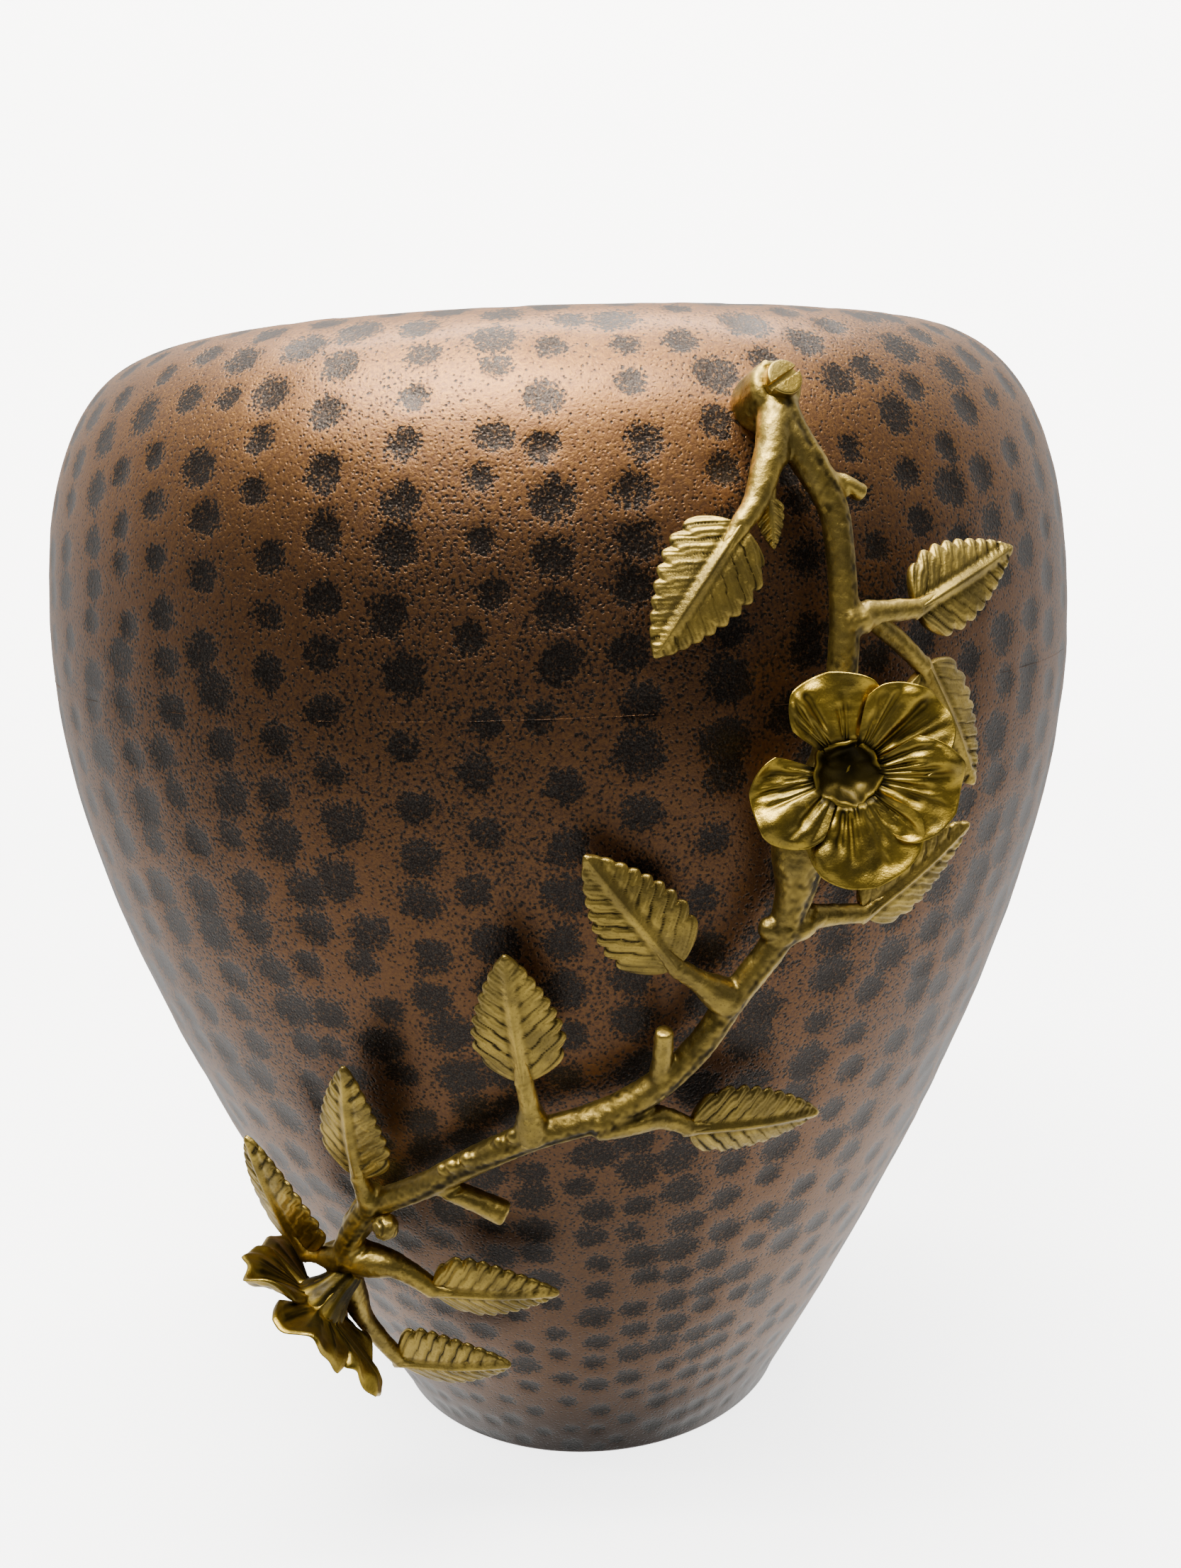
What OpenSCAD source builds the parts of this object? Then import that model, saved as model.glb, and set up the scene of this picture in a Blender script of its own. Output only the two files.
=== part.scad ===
// Hammered vase with an applied brass vine.
// The origin is the centre of the foot, on the surface it stands on. +Z is up.
// The vine is on the -Y side, and azimuth counts from -Y towards +X.

/* [Body] */
// Largest diameter of the body
body_d = 230; // [195:1:280]
// Height from the surface it stands on to the top of the rim
body_h = 253; // [205:1:310]
// Height of the shoulder, from the widest line to the top of the rim
shoulder_h = 68; // [56:1:82]
// Diameter of the foot, where wall and base would meet without the round
foot_d = 97; // [80:1:118]
// Radius of the round at the foot
foot_round = 3; // [2:0.5:8]
// Lean of the wall at the foot, in degrees from upright
foot_lean = 25.5; // [18:0.5:30]
// Thickness of the sheet metal
wall = 1.5; // [1.2:0.1:2.5]

/* [Rim and seam] */
// Diameter of the rim's crest
crest_d = 155; // [126:1:170]
// Diameter of the wire that the rim is rolled over
rim_wire_d = 4; // [3:0.5:6]
// Height of the lap where the lower half fits into the upper half
lap = 6; // [4:0.5:10]

/* [Vine] */
// Diameter of the main stem
stem_d = 5.8; // [4.5:0.1:7]
// Length of a leaf blade
leaf_l = 26; // [21:0.5:31]
// Width of a leaf blade
leaf_w = 16; // [13:0.5:19]
// Thickness of a leaf along its rib
leaf_t = 2.2; // [1.6:0.1:3]
// Reach of the longest petal of the upper flower, from the centre of its cup
upper_reach = 19; // [15:0.5:22]
// Reach of the longest petal of the lower flower, from the centre of its cup
lower_reach = 21; // [17:0.5:25]
// Radius of a flower's cup
cup_r = 5; // [4:0.25:6]

/* [Fixings] */
// Diameter of the screw and the studs
bolt_d = 3.5; // [3:0.5:5]
// Clearance of a bolt in its hole, on the radius
bolt_clear = 0.2; // [0.1:0.05:0.4]
// Diameter of the screw head
head_d = 6; // [5.5:0.1:8.5]
// Height of the screw head
head_h = 2.2; // [2:0.1:3.5]
// Width of the slot in the screw head
slot_w = 1; // [0.8:0.1:1.6]
// Height of the screw boss above the wall
boss_h = 7.6; // [6:0.2:10]
// Thickness of a washer
washer_t = 0.7; // [0.5:0.1:1.5]
// Outer diameter of a washer
washer_d = 8; // [7:0.5:12]
// Width of a nut across its flats
nut_af = 6; // [5.5:0.5:9]
// Height of a nut
nut_h = 2.8; // [2.4:0.2:5]

/* [Hidden] */
$fn = 96;

body_r = body_d / 2;
crest_r = crest_d / 2;
widest_h = body_h - shoulder_h;
stem_r = stem_d / 2;
bolt_r = bolt_d / 2;
hole_r = bolt_r + bolt_clear;
// How far the wall runs straight on from each end of its two curves
foot_reach = 20;
belly_reach = 66;
shoulder_reach = 50;
crest_reach = 24;
// Play left between pieces that are soldered or rolled together
fit = 0.05;
// Where the lower half steps in to form the lap, and where the lap ends
step_u = 0.94;
lap_u = 1 + lap / shoulder_reach / 3;
// Play between a flat washer and the curved wall
washer_gap = 0.35;
seat = wall + washer_gap;

// ---- The wall: two cubic curves, foot to widest line and widest line to crest ----

function bez(p, t) =
    pow(1 - t, 3) * p[0] + 3 * pow(1 - t, 2) * t * p[1]
    + 3 * (1 - t) * t * t * p[2] + pow(t, 3) * p[3];
function bez_dir(p, t) =
    let (d = pow(1 - t, 2) * (p[1] - p[0]) + 2 * (1 - t) * t * (p[2] - p[1])
        + t * t * (p[3] - p[2]))
    d / norm(d);

round_r = foot_d / 2 - foot_round * (1 - sin(foot_lean)) / cos(foot_lean);
foot_end = [round_r + foot_round * cos(foot_lean), foot_round * (1 - sin(foot_lean))];
LOWER = [
    foot_end,
    foot_end + foot_reach * [sin(foot_lean), cos(foot_lean)],
    [body_r, widest_h - belly_reach],
    [body_r, widest_h]];
UPPER = [
    [body_r, widest_h],
    [body_r, widest_h + shoulder_reach],
    [crest_r + crest_reach, body_h],
    [crest_r, body_h]];

// u runs 0 to 1 up the lower curve and 1 to 2 up the upper one
function edge(u) = u < 1 ? bez(LOWER, u) : bez(UPPER, u - 1);
function edge_dir(u) = u < 1 ? bez_dir(LOWER, u) : bez_dir(UPPER, u - 1);
function edge_out(u) = let (d = edge_dir(u)) [d.y, -d.x];
function skin(depth, from, to, steps) = [
    for (i = [0:steps])
        let (u = from + (to - from) * i / steps)
        edge(u) - depth * edge_out(u)];
function reversed(list) = [for (i = [len(list) - 1:-1:0]) list[i]];
function foot_arc(r, steps = 6) = [
    for (i = [0:steps])
        let (a = -90 + (90 - foot_lean) * i / steps)
        [round_r + r * cos(a), foot_round + r * sin(a)]];

// A place on the wall: azimuth in degrees, height as a percentage of body_h, lift off the wall in mm
HEIGHTS = [for (i = [0:200]) [edge(i / 100).y, i / 100]];
function wall_u(h) = lookup(h * body_h / 100, HEIGHTS);
function turn(p, az) = [p.x * sin(az), -p.x * cos(az), p.y];
function on_wall(az, h, lift) =
    let (u = wall_u(h)) turn(edge(u) + lift * edge_out(u), az);
function out_dir(az, h) = turn(edge_out(wall_u(h)), az);
function up_dir(az, h) = turn(edge_dir(wall_u(h)), az);
function side_dir(az) = [cos(az), sin(az), 0];
function tilt(h) = let (n = edge_out(wall_u(h))) atan2(n.y, n.x);
function unit(v) = v / norm(v);

// Puts its children on the wall with +Z along the outward normal
module at_wall(az, h, lift = 0) {
    translate(on_wall(az, h, lift)) rotate([90 - tilt(h), 0, az]) children();
}

// ---- Lofts ----

// A closed skin over rings of points, from a pole before the first to a pole after the last
module loft(rings, start, end) {
    n = len(rings[0]);
    m = len(rings);
    polyhedron(
        points = concat([start], [for (ring = rings) each ring], [end]),
        faces = concat(
            [for (j = [0:n - 1]) [0, 1 + j, 1 + (j + 1) % n]],
            [for (i = [0:m - 2], j = [0:n - 1], half = [0, 1])
                let (a = 1 + i * n + j, b = 1 + i * n + (j + 1) % n)
                half == 0 ? [a, a + n, b + n] : [a, b + n, b]],
            [for (j = [0:n - 1])
                [1 + m * n, 1 + (m - 1) * n + (j + 1) % n, 1 + (m - 1) * n + j]]));
}

// Smooths a route of [azimuth, height, lift, radius] rows
function spline(p, i, t) =
    let (a = p[max(i - 1, 0)], b = p[i], c = p[i + 1], d = p[min(i + 2, len(p) - 1)])
    0.5 * (2 * b + (c - a) * t + (2 * a - 5 * b + 4 * c - d) * t * t
        + (3 * b - a - 3 * c + d) * t * t * t);
function smooth(p, steps) = concat(
    [for (i = [0:len(p) - 2], k = [0:steps - 1]) spline(p, i, k / steps)],
    [p[len(p) - 1]]);

function place(row) = on_wall(row[0], row[1], row[2]);
function ring(c, y, z, a, b, sides) = [
    for (j = [0:sides - 1])
        let (w = 360 * (j + 0.5) / sides)
        c + a * cos(w) * y + b * sin(w) * z];
function tube_rings(route, sides) = [
    for (i = [0:len(route) - 1])
        let (
            row = route[i],
            t = unit(place(route[min(i + 1, len(route) - 1)]) - place(route[max(i - 1, 0)])),
            y = unit(cross(out_dir(row[0], row[1]), t)),
            z = cross(t, y))
        ring(place(row), y, z, row[3], row[3], sides)];

// A round branch along a route, with a low dome at each end
module branch(route, sides = 8, steps = 2) {
    way = smooth(route, steps);
    last = len(way) - 1;
    tip_a = unit(place(way[0]) - place(way[1]));
    tip_b = unit(place(way[last]) - place(way[last - 1]));
    loft(
        tube_rings(way, sides),
        place(way[0]) + tip_a * way[0][3] * 0.5,
        place(way[last]) + tip_b * way[last][3] * 0.5);
}

// ---- The vine's layout: rows of [azimuth, height %, lift, share of the stem's radius] ----

STEM = [
    [18.4, 91.6, 5.0, 1.25], [19.1, 89.7, 5.5, 1.12], [20.6, 87.5, 6.0, 1.03],
    [21.9, 85.3, 6.0, 0.92], [22.3, 81.8, 6.0, 0.88], [22.3, 78.0, 6.0, 0.92],
    [21.8, 74.0, 6.2, 1.0], [20.8, 70.0, 6.8, 1.2], [19.4, 67.0, 7.2, 1.55],
    [18.3, 64.4, 7.4, 1.65], [18.4, 61.8, 7.0, 1.3], [18.0, 59.6, 6.6, 1.05],
    [17.0, 57.3, 6.3, 0.97], [13.9, 53.8, 6.0, 0.95], [11.0, 50.1, 6.0, 0.95],
    [7.0, 47.1, 6.0, 1.0], [2.0, 45.0, 6.0, 1.0], [-4.6, 43.4, 6.0, 1.0],
    [-10.4, 41.2, 6.0, 1.0], [-17.0, 38.2, 6.0, 0.95], [-22.0, 36.4, 6.3, 0.95],
    [-25.5, 35.0, 7.0, 0.97], [-27.8, 33.2, 8.2, 1.0], [-29.6, 31.2, 9.8, 1.05],
    [-30.5, 29.9, 10.6, 1.1]];
FORK = [[18.4, 91.4, 5.0, 1.15], [17.5, 90.0, 6.0, 1.0], [16.8, 88.0, 6.4, 0.95]];
STUB_RIGHT = [[21.4, 87.0, 6.0, 0.75], [23.0, 86.5, 6.3, 0.62], [24.5, 86.0, 6.6, 0.5]];
STUB_MIDDLE = [[7.4, 47.8, 6.0, 0.75], [7.5, 49.8, 6.5, 0.65], [7.5, 52.0, 7.0, 0.6]];
STUB_LOWER = [[-16.4, 38.4, 6.0, 0.75], [-12.5, 37.5, 6.5, 0.75], [-8.8, 36.3, 7.0, 0.85]];
KNOTS = [[-13.3, 41.1, 7.4], [-11.6, 41.8, 7.4], [-6.6, 43.9, 7.4]];
knot_r = 1.4;

// Each leaf: the route of its twig from the stem, then its blade's
// [heading, lean, roll, share of length, share of width]. Heading 0 is towards +azimuth, 90 is up.
LEAVES = [
    [[[16.8, 88.5, 6.4, 0.75], [15.2, 85.9, 7.0, 0.7], [13.6, 84.4, 7.5, 0.6]],
        [-127, -6, 8, 0.95, 1.0]],
    [[[22.3, 78.3, 6.0, 0.7], [24.4, 78.7, 6.5, 0.75], [28.9, 78.8, 7.0, 0.6]],
        [22, 0, -6, 0.92, 0.95]],
    [[[24.2, 78.6, 6.4, 0.6], [26.6, 77.2, 6.6, 0.6], [29.6, 75.0, 7.0, 0.55]],
        [-62, 0, 0, 0.94, 1.0]],
    [[[17.6, 58.6, 6.4, 0.75], [20.6, 59.2, 6.5, 0.7], [25.3, 58.9, 7.0, 0.6]],
        [35, 0, 0, 0.96, 0.92]],
    [[[13.5, 53.6, 6.0, 0.75], [10.8, 55.3, 6.6, 0.7], [8.3, 56.9, 7.0, 0.6]],
        [125.5, -4, 0, 1.02, 1.0]],
    [[[-4.8, 43.6, 6.0, 0.75], [-4.8, 46.0, 6.6, 0.65], [-5.1, 48.6, 7.0, 0.6]],
        [92.5, 0, 0, 1.04, 1.0]],
    [[[1.5, 44.6, 6.0, 0.75], [7.3, 44.7, 6.5, 0.7], [10.6, 43.6, 7.0, 0.6]],
        [-4.5, -4, 0, 0.98, 1.0]],
    [[[-24.3, 35.7, 6.6, 0.7], [-24.9, 37.2, 7.0, 0.65], [-25.0, 38.6, 7.0, 0.6]],
        [78, 1.5, 0, 1.18, 0.88]],
    [[[-30.6, 30.6, 10.4, 0.7], [-33.4, 30.4, 11.2, 0.65], [-35.8, 30.6, 12.0, 0.6]],
        [93, -3, 0, 1.2, 1.0]],
    [[[-30.2, 30.8, 10.0, 0.8], [-24.0, 30.0, 8.6, 0.8], [-19.8, 27.6, 8.0, 0.65]],
        [1, -7, 0, 0.99, 1.05]],
    [[[-31.0, 29.8, 10.8, 0.7], [-32.0, 23.5, 11.0, 0.65], [-30.2, 17.9, 10.0, 0.6]],
        [4, -12, 0, 1.0, 1.12]]];
BUD_LEAF = [
    [[16.6, 87.6, 6.6, 0.55], [16.2, 86.6, 6.8, 0.5], [16.1, 86.0, 7.0, 0.45]],
    [-86, -6, 15, 0.32, 0.3]];
ROUND_BUD = [[-24.8, 35.0, 7.2, 0.6], [-23.5, 34.6, 8.6, 0.45], [-22.6, 34.8, 9.6, 0.5]];
bud_r = 2.7;

// Each flower: [azimuth, height %, lift of its base], the way it faces [azimuth, elevation],
// its petals as [angle, share of the reach, half width in degrees], and the petals' rise
UPPER_FLOWER = [[22.2, 69.0, 5.4], [-5, 7], [
    [100, 0.9, 42], [37, 1.0, 40], [347, 0.99, 42], [283, 1.0, 48], [207, 0.9, 42]], 0.2];
LOWER_FLOWER = [[-29.9, 29.3, 11.2], [-72, -40], [
    [15, 1.0, 44], [87, 0.95, 42], [159, 1.0, 44], [231, 0.95, 42], [303, 1.0, 44]], 0.0];

// Where the vine is bolted to the wall: [azimuth, height %, height of the boss or pad].
// The upper stud stays on the stem, just under the step that forms the lap.
function stem_az(h) = lookup(h, [for (p = STEM) [p[1], p[0]]]);
upper_stud_h = 100 * (edge(step_u).y - washer_d / 2 - washer_gap) / body_h;
TOP_FIX = [18.3, 92.2, boss_h];
STUD_FIXES = [[stem_az(upper_stud_h), upper_stud_h, 7.0], [-27.8, 33.2, 8.4]];
FIXES = concat([TOP_FIX], STUD_FIXES);
// Depth of a stud in its pad
stud_grip = 5;
pad_r = bolt_r + 1.6;
boss_foot_r = head_d / 2 + 2.3;
boss_top_r = head_d / 2 + 0.8;

// ---- Body ----

// Everything inside the wall's outer face
module body_core() {
    rotate_extrude() polygon(concat(
        [[0, 0]], foot_arc(foot_round), skin(0, 0.04, 1, 24), skin(0, 1.04, 2, 24),
        [[0, body_h]]));
}

module fixing_holes() {
    for (f = FIXES)
        at_wall(f[0], f[1], -2 * wall) cylinder(r = hole_r, h = 4 * wall);
}

// Lower half: a flat base, a round, and a wall whose top is stepped in to fit the upper half
module body_lower() color("#8f6f5f") difference() {
    rotate_extrude() polygon(concat(
        [[0, 0]], foot_arc(foot_round), skin(0, 0.04, 1, 24),
        skin(wall + fit, 1, lap_u, 3),
        reversed(skin(2 * wall + fit, 1, lap_u, 3)),
        reversed(skin(2 * wall + fit, step_u + 0.02, 0.98, 1)),
        reversed(skin(wall, 0.04, step_u, 22)),
        reversed(foot_arc(foot_round - wall)), [[0, wall]]));
    fixing_holes();
}

// The rim's roll: the sheet turns in over the wire and tucks under it
roll_in = rim_wire_d / 2 + fit;
roll_out = roll_in + wall;
roll_c = [crest_r, body_h - roll_out];
function roll_arc(r, from, to, steps = 16) = [
    for (i = [0:steps])
        let (a = from + (to - from) * i / steps)
        roll_c + r * [cos(a), sin(a)]];

// Upper half: the shoulder, ending in the rolled rim
module body_upper() color("#8f6f5f") difference() {
    rotate_extrude() polygon(concat(
        skin(0, 1, 2, 24), roll_arc(roll_out, 95, 310, 20),
        roll_arc(roll_in, 310, 90, 20), reversed(skin(wall, lap_u + 0.04, 1.98, 22)),
        reversed(skin(wall, 1, lap_u, 3))));
    fixing_holes();
}

module rim_wire() color("#a58b6a")
    rotate_extrude() translate(roll_c) circle(d = rim_wire_d);

// ---- Vine ----

// Scales a route's radius shares by the stem's radius
function sized(route) = [for (p = route) [p[0], p[1], p[2], p[3] * stem_r]];

// The cast stem, with its stubs, knots, screw boss and stud pads
module vine_stem() color("#b39a4a") difference() {
    union() {
        branch(sized(STEM));
        branch(sized(FORK));
        branch(sized(STUB_RIGHT));
        branch(sized(STUB_MIDDLE));
        branch(sized(STUB_LOWER));
        for (k = KNOTS) translate(on_wall(k[0], k[1], k[2])) sphere(r = knot_r);
        at_wall(TOP_FIX[0], TOP_FIX[1], -1) cylinder(r1 = boss_foot_r, r2 = boss_top_r, h = boss_h + 1);
        for (f = STUD_FIXES) at_wall(f[0], f[1], -1) cylinder(r = pad_r, h = f[2] + 1);
    }
    body_core();
    at_wall(TOP_FIX[0], TOP_FIX[1], -1) cylinder(r = hole_r, h = boss_h + 2);
    at_wall(TOP_FIX[0], TOP_FIX[1], boss_h) cylinder(r = head_d / 2 + bolt_clear, h = 2 * head_h);
    for (f = STUD_FIXES) at_wall(f[0], f[1], -1) cylinder(r = bolt_r + fit, h = stud_grip + 1);
}

// Half width of a blade along its length, as a share of its greatest half width
function blade_half(t) = pow(sin(180 * pow(t, 0.58)), 0.72);
teeth = 7;
tooth = 0.07;

// A leaf on its twig, as one loft: round along the twig, then flat, folded and toothed
module leaf(spec, sides = 12) {
    route = smooth(sized(spec[0]), 2);
    row = route[len(route) - 1];
    pose = spec[1];
    out = out_dir(row[0], row[1]);
    flat = cos(pose[0]) * side_dir(row[0]) + sin(pose[0]) * up_dir(row[0], row[1]);
    x = cos(pose[1]) * flat + sin(pose[1]) * out;
    y0 = unit(cross(out, x));
    z0 = cross(x, y0);
    y = cos(pose[2]) * y0 + sin(pose[2]) * z0;
    z = cross(x, y);
    length = pose[3] * leaf_l;
    half = pose[4] * leaf_w / 2;
    stations = 2 * teeth;
    blade = [
        for (i = [1:stations])
            let (
                t = i / (stations + 0.5),
                w = half * blade_half(t) * (1 + (i % 2 == 0 ? tooth : -tooth)),
                thick = leaf_t / 2 * (1 - 0.6 * t),
                arch = 0.05 * length * sin(180 * t))
            [for (j = [0:sides - 1])
                let (a = 360 * (j + 0.5) / sides, across = cos(a) * w)
                place(row) + x * length * t + y * across
                    + z * (sin(a) * thick + arch - 0.28 * abs(across))]];
    loft(
        concat(tube_rings(route, sides), blade),
        place(route[0]) + unit(place(route[0]) - place(route[1])) * 0.3,
        place(row) + x * length);
}

// The corolla: a closed skin from the back of the calyx, out along the petals and into the cup
module flower(spec, reach, sides = 60) {
    petals = spec[2];
    notch = 0.45;
    skin_t = 1.3;
    cup_h = 2 * cup_r;
    function gap(a, b) = abs((a - b + 540) % 360 - 180);
    function shape(a) = max(notch, max([
        for (p = petals) gap(a, p[0]) < p[2] ? p[1] * pow(cos(90 * gap(a, p[0]) / p[2]), 0.3) : 0]));
    rise = spec[3];
    function lip(q) = cup_h + (reach - cup_r) * (0.12 * sin(180 * q) + rise * q);
    angles = [for (j = [0:sides - 1]) 360 * j / sides];
    function flat_ring(r, z) = [for (a = angles) [r * cos(a), r * sin(a), z]];
    function petal_ring(q, drop) = [
        for (a = angles)
            let (r = cup_r + (reach * shape(a) - cup_r) * q)
            [r * cos(a), r * sin(a), lip(q) - drop]];
    place_at = spec[0];
    translate(on_wall(place_at[0], place_at[1], place_at[2]))
        rotate([90 - spec[1][1], 0, spec[1][0]])
            loft(
                [
                    flat_ring(cup_r * 0.55, 0), flat_ring(cup_r * 0.75, cup_h * 0.3),
                    flat_ring(cup_r + 0.6, cup_h * 0.75),
                    petal_ring(0.12, skin_t), petal_ring(0.4, skin_t),
                    petal_ring(0.7, skin_t), petal_ring(1, skin_t),
                    petal_ring(1, 0.5), petal_ring(0.7, 0), petal_ring(0.4, 0), petal_ring(0, 0),
                    flat_ring(cup_r - 0.5, cup_h * 0.7), flat_ring(cup_r * 0.55, cup_h * 0.4)],
                [0, 0, -0.4], [0, 0, cup_h * 0.33]);
}

module flower_upper() color("#c2a84e") flower(UPPER_FLOWER, upper_reach);
module flower_lower() color("#c2a84e") flower(LOWER_FLOWER, lower_reach);

module round_bud() color("#b39a4a") {
    end = ROUND_BUD[len(ROUND_BUD) - 1];
    union() {
        branch(sized(ROUND_BUD));
        translate(on_wall(end[0], end[1], end[2])) sphere(r = bud_r);
    }
}

// ---- Fixings ----

module top_screw() color("#b9a455") at_wall(TOP_FIX[0], TOP_FIX[1], boss_h) {
    grip = boss_h + seat + washer_t + nut_h + 1;
    difference() {
        union() {
            cylinder(d = head_d, h = head_h);
            translate([0, 0, -grip]) cylinder(r = bolt_r, h = grip + 1);
        }
        translate([0, 0, head_h]) rotate([0, 0, 30])
            cube([head_d + 1, slot_w, head_h], center = true);
    }
}

module studs() color("#b39a4a")
    for (f = STUD_FIXES) at_wall(f[0], f[1], -(seat + washer_t + nut_h + 1))
        cylinder(r = bolt_r, h = seat + washer_t + nut_h + 1 + stud_grip - fit);

module washers() color("#a9a9a4")
    for (f = FIXES) at_wall(f[0], f[1], -(seat + washer_t)) difference() {
        cylinder(d = washer_d, h = washer_t);
        translate([0, 0, -1]) cylinder(r = hole_r, h = washer_t + 2);
    }

module nuts() color("#a9a9a4")
    for (f = FIXES) at_wall(f[0], f[1], -(seat + washer_t + nut_h)) difference() {
        cylinder(d = nut_af / cos(30), h = nut_h, $fn = 6);
        translate([0, 0, -1]) cylinder(r = bolt_r + fit / 2, h = nut_h + 2);
    }

module leaf_n(k) color("#b39a4a") leaf(LEAVES[k - 1]);
module bud_leaf() color("#b39a4a") leaf(BUD_LEAF);

body_lower();
body_upper();
rim_wire();
vine_stem();
leaf_n(1);  // leaf_1
leaf_n(2);  // leaf_2
leaf_n(3);  // leaf_3
leaf_n(4);  // leaf_4
leaf_n(5);  // leaf_5
leaf_n(6);  // leaf_6
leaf_n(7);  // leaf_7
leaf_n(8);  // leaf_8
leaf_n(9);  // leaf_9
leaf_n(10);  // leaf_10
leaf_n(11);  // leaf_11
bud_leaf();
round_bud();
flower_upper();
flower_lower();
top_screw();
studs();
washers();
nuts();
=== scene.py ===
"""A hammered copper vase with an applied cast-brass vine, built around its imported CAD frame."""
import math

import bpy
import numpy as np
from mathutils import Matrix, Vector


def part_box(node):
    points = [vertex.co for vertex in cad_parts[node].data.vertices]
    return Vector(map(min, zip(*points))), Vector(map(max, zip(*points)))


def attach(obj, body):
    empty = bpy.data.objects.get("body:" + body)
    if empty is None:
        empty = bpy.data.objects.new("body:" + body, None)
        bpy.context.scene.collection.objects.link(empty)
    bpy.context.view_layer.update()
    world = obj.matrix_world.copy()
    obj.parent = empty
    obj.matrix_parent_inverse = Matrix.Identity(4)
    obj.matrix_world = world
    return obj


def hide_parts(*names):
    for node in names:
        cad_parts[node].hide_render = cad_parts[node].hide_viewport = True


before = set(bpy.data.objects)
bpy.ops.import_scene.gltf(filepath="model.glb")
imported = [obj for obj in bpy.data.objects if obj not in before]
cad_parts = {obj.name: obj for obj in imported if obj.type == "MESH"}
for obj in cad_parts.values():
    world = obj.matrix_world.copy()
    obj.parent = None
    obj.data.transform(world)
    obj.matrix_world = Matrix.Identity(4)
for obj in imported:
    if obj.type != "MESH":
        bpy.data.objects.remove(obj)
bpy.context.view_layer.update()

MM = 0.001


# -------- the wall, in mm

def corners(node):
    """A node's lowest and highest corners, in mm."""
    low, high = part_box(node)
    return np.array(low) / MM, np.array(high) / MM


upper_low, upper_high = corners("body_upper")
wire_low, wire_high = corners("rim_wire")
BODY_R = upper_high[0]
BODY_H = upper_high[2]
WIDEST_H = upper_low[2]
WIRE_R = (wire_high[2] - wire_low[2]) / 2
CREST_R = wire_high[0] - WIRE_R
FOOT_R = 48.5
FOOT_ROUND = 3.0
FOOT_LEAN = math.radians(25.5)
FOOT_REACH, BELLY_REACH, SHOULDER_REACH, CREST_REACH = 20, 66, 50, 24
WALL = 1.5
LAP = 5.5            # how far the lower half's step reaches up inside the upper half
CLEARANCE = 0.02     # keeps the dressed surfaces a hair inside the CAD ones

round_r = FOOT_R - FOOT_ROUND * (1 - math.sin(FOOT_LEAN)) / math.cos(FOOT_LEAN)
foot_end = np.array([
    round_r + FOOT_ROUND * math.cos(FOOT_LEAN), FOOT_ROUND * (1 - math.sin(FOOT_LEAN))])
foot_up = np.array([math.sin(FOOT_LEAN), math.cos(FOOT_LEAN)])


def bezier(a, b, c, d, t):
    """Points of a cubic curve from a to d."""
    t = np.asarray(t)[:, None]
    return (1 - t) ** 3 * a + 3 * (1 - t) ** 2 * t * b + 3 * (1 - t) * t * t * c + t ** 3 * d


STEPS = 600          # points along each half of the wall's curve
share = np.linspace(0, 1, STEPS)
lower_curve = bezier(
    foot_end, foot_end + FOOT_REACH * foot_up,
    np.array([BODY_R, WIDEST_H - BELLY_REACH]), np.array([BODY_R, WIDEST_H]), share)
upper_curve = bezier(
    np.array([BODY_R, WIDEST_H]), np.array([BODY_R, WIDEST_H + SHOULDER_REACH]),
    np.array([CREST_R + CREST_REACH, BODY_H]), np.array([CREST_R, BODY_H]), share)
CURVE = np.vstack([lower_curve, upper_curve[1:]])
slopes = np.gradient(CURVE, axis=0)
slopes /= np.linalg.norm(slopes, axis=1)[:, None]
OUTWARD = np.stack([slopes[:, 1], -slopes[:, 0]], axis=1)
INDEX = np.arange(len(CURVE))
arc = np.concatenate([[0], np.cumsum(np.linalg.norm(np.diff(CURVE, axis=0), axis=1))])


def table_at(table, i):
    """Rows of a table along the wall at fractional indices."""
    return np.stack([np.interp(i, INDEX, table[:, k]) for k in (0, 1)], axis=-1)


def at_height(h, table):
    """Rows of a table along the wall at heights given as a percentage of the body's height."""
    return table_at(table, np.interp(np.asarray(h, float) * BODY_H / 100, CURVE[:, 1], INDEX))


def turned(rz, az):
    """Points at rows of [radius, height], turned round the axis to azimuths in degrees."""
    a = np.radians(az)
    return np.stack([rz[..., 0] * np.sin(a), -rz[..., 0] * np.cos(a), rz[..., 1] + 0 * a], axis=-1)


def on_wall(az, h, lift):
    """Points off the wall: azimuth from -Y towards +X, height as a percentage, lift in mm."""
    rz = at_height(h, CURVE) + np.asarray(lift, float)[..., None] * at_height(h, OUTWARD)
    return turned(rz, np.asarray(az, float))


def wall_axes(az, h):
    """Unit vectors along +azimuth, up the wall and outward at one place."""
    out = turned(at_height(h, OUTWARD), np.asarray(az, float))
    out /= np.linalg.norm(out)
    side = np.array([math.cos(math.radians(az)), math.sin(math.radians(az)), 0.0])
    return side, np.cross(out, side), out


# -------- mesh helpers

def ring_angles(count):
    """Angles in radians, evenly round a circle."""
    return 2 * math.pi * np.arange(count) / count


def smoothstep(low, high, x):
    t = np.clip((x - low) / (high - low), 0, 1)
    return t * t * (3 - 2 * t)


def unit(v):
    """Vectors scaled to a length of 1."""
    v = np.asarray(v, float)
    return v / np.maximum(np.linalg.norm(v, axis=-1, keepdims=True), 1e-12)


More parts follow.
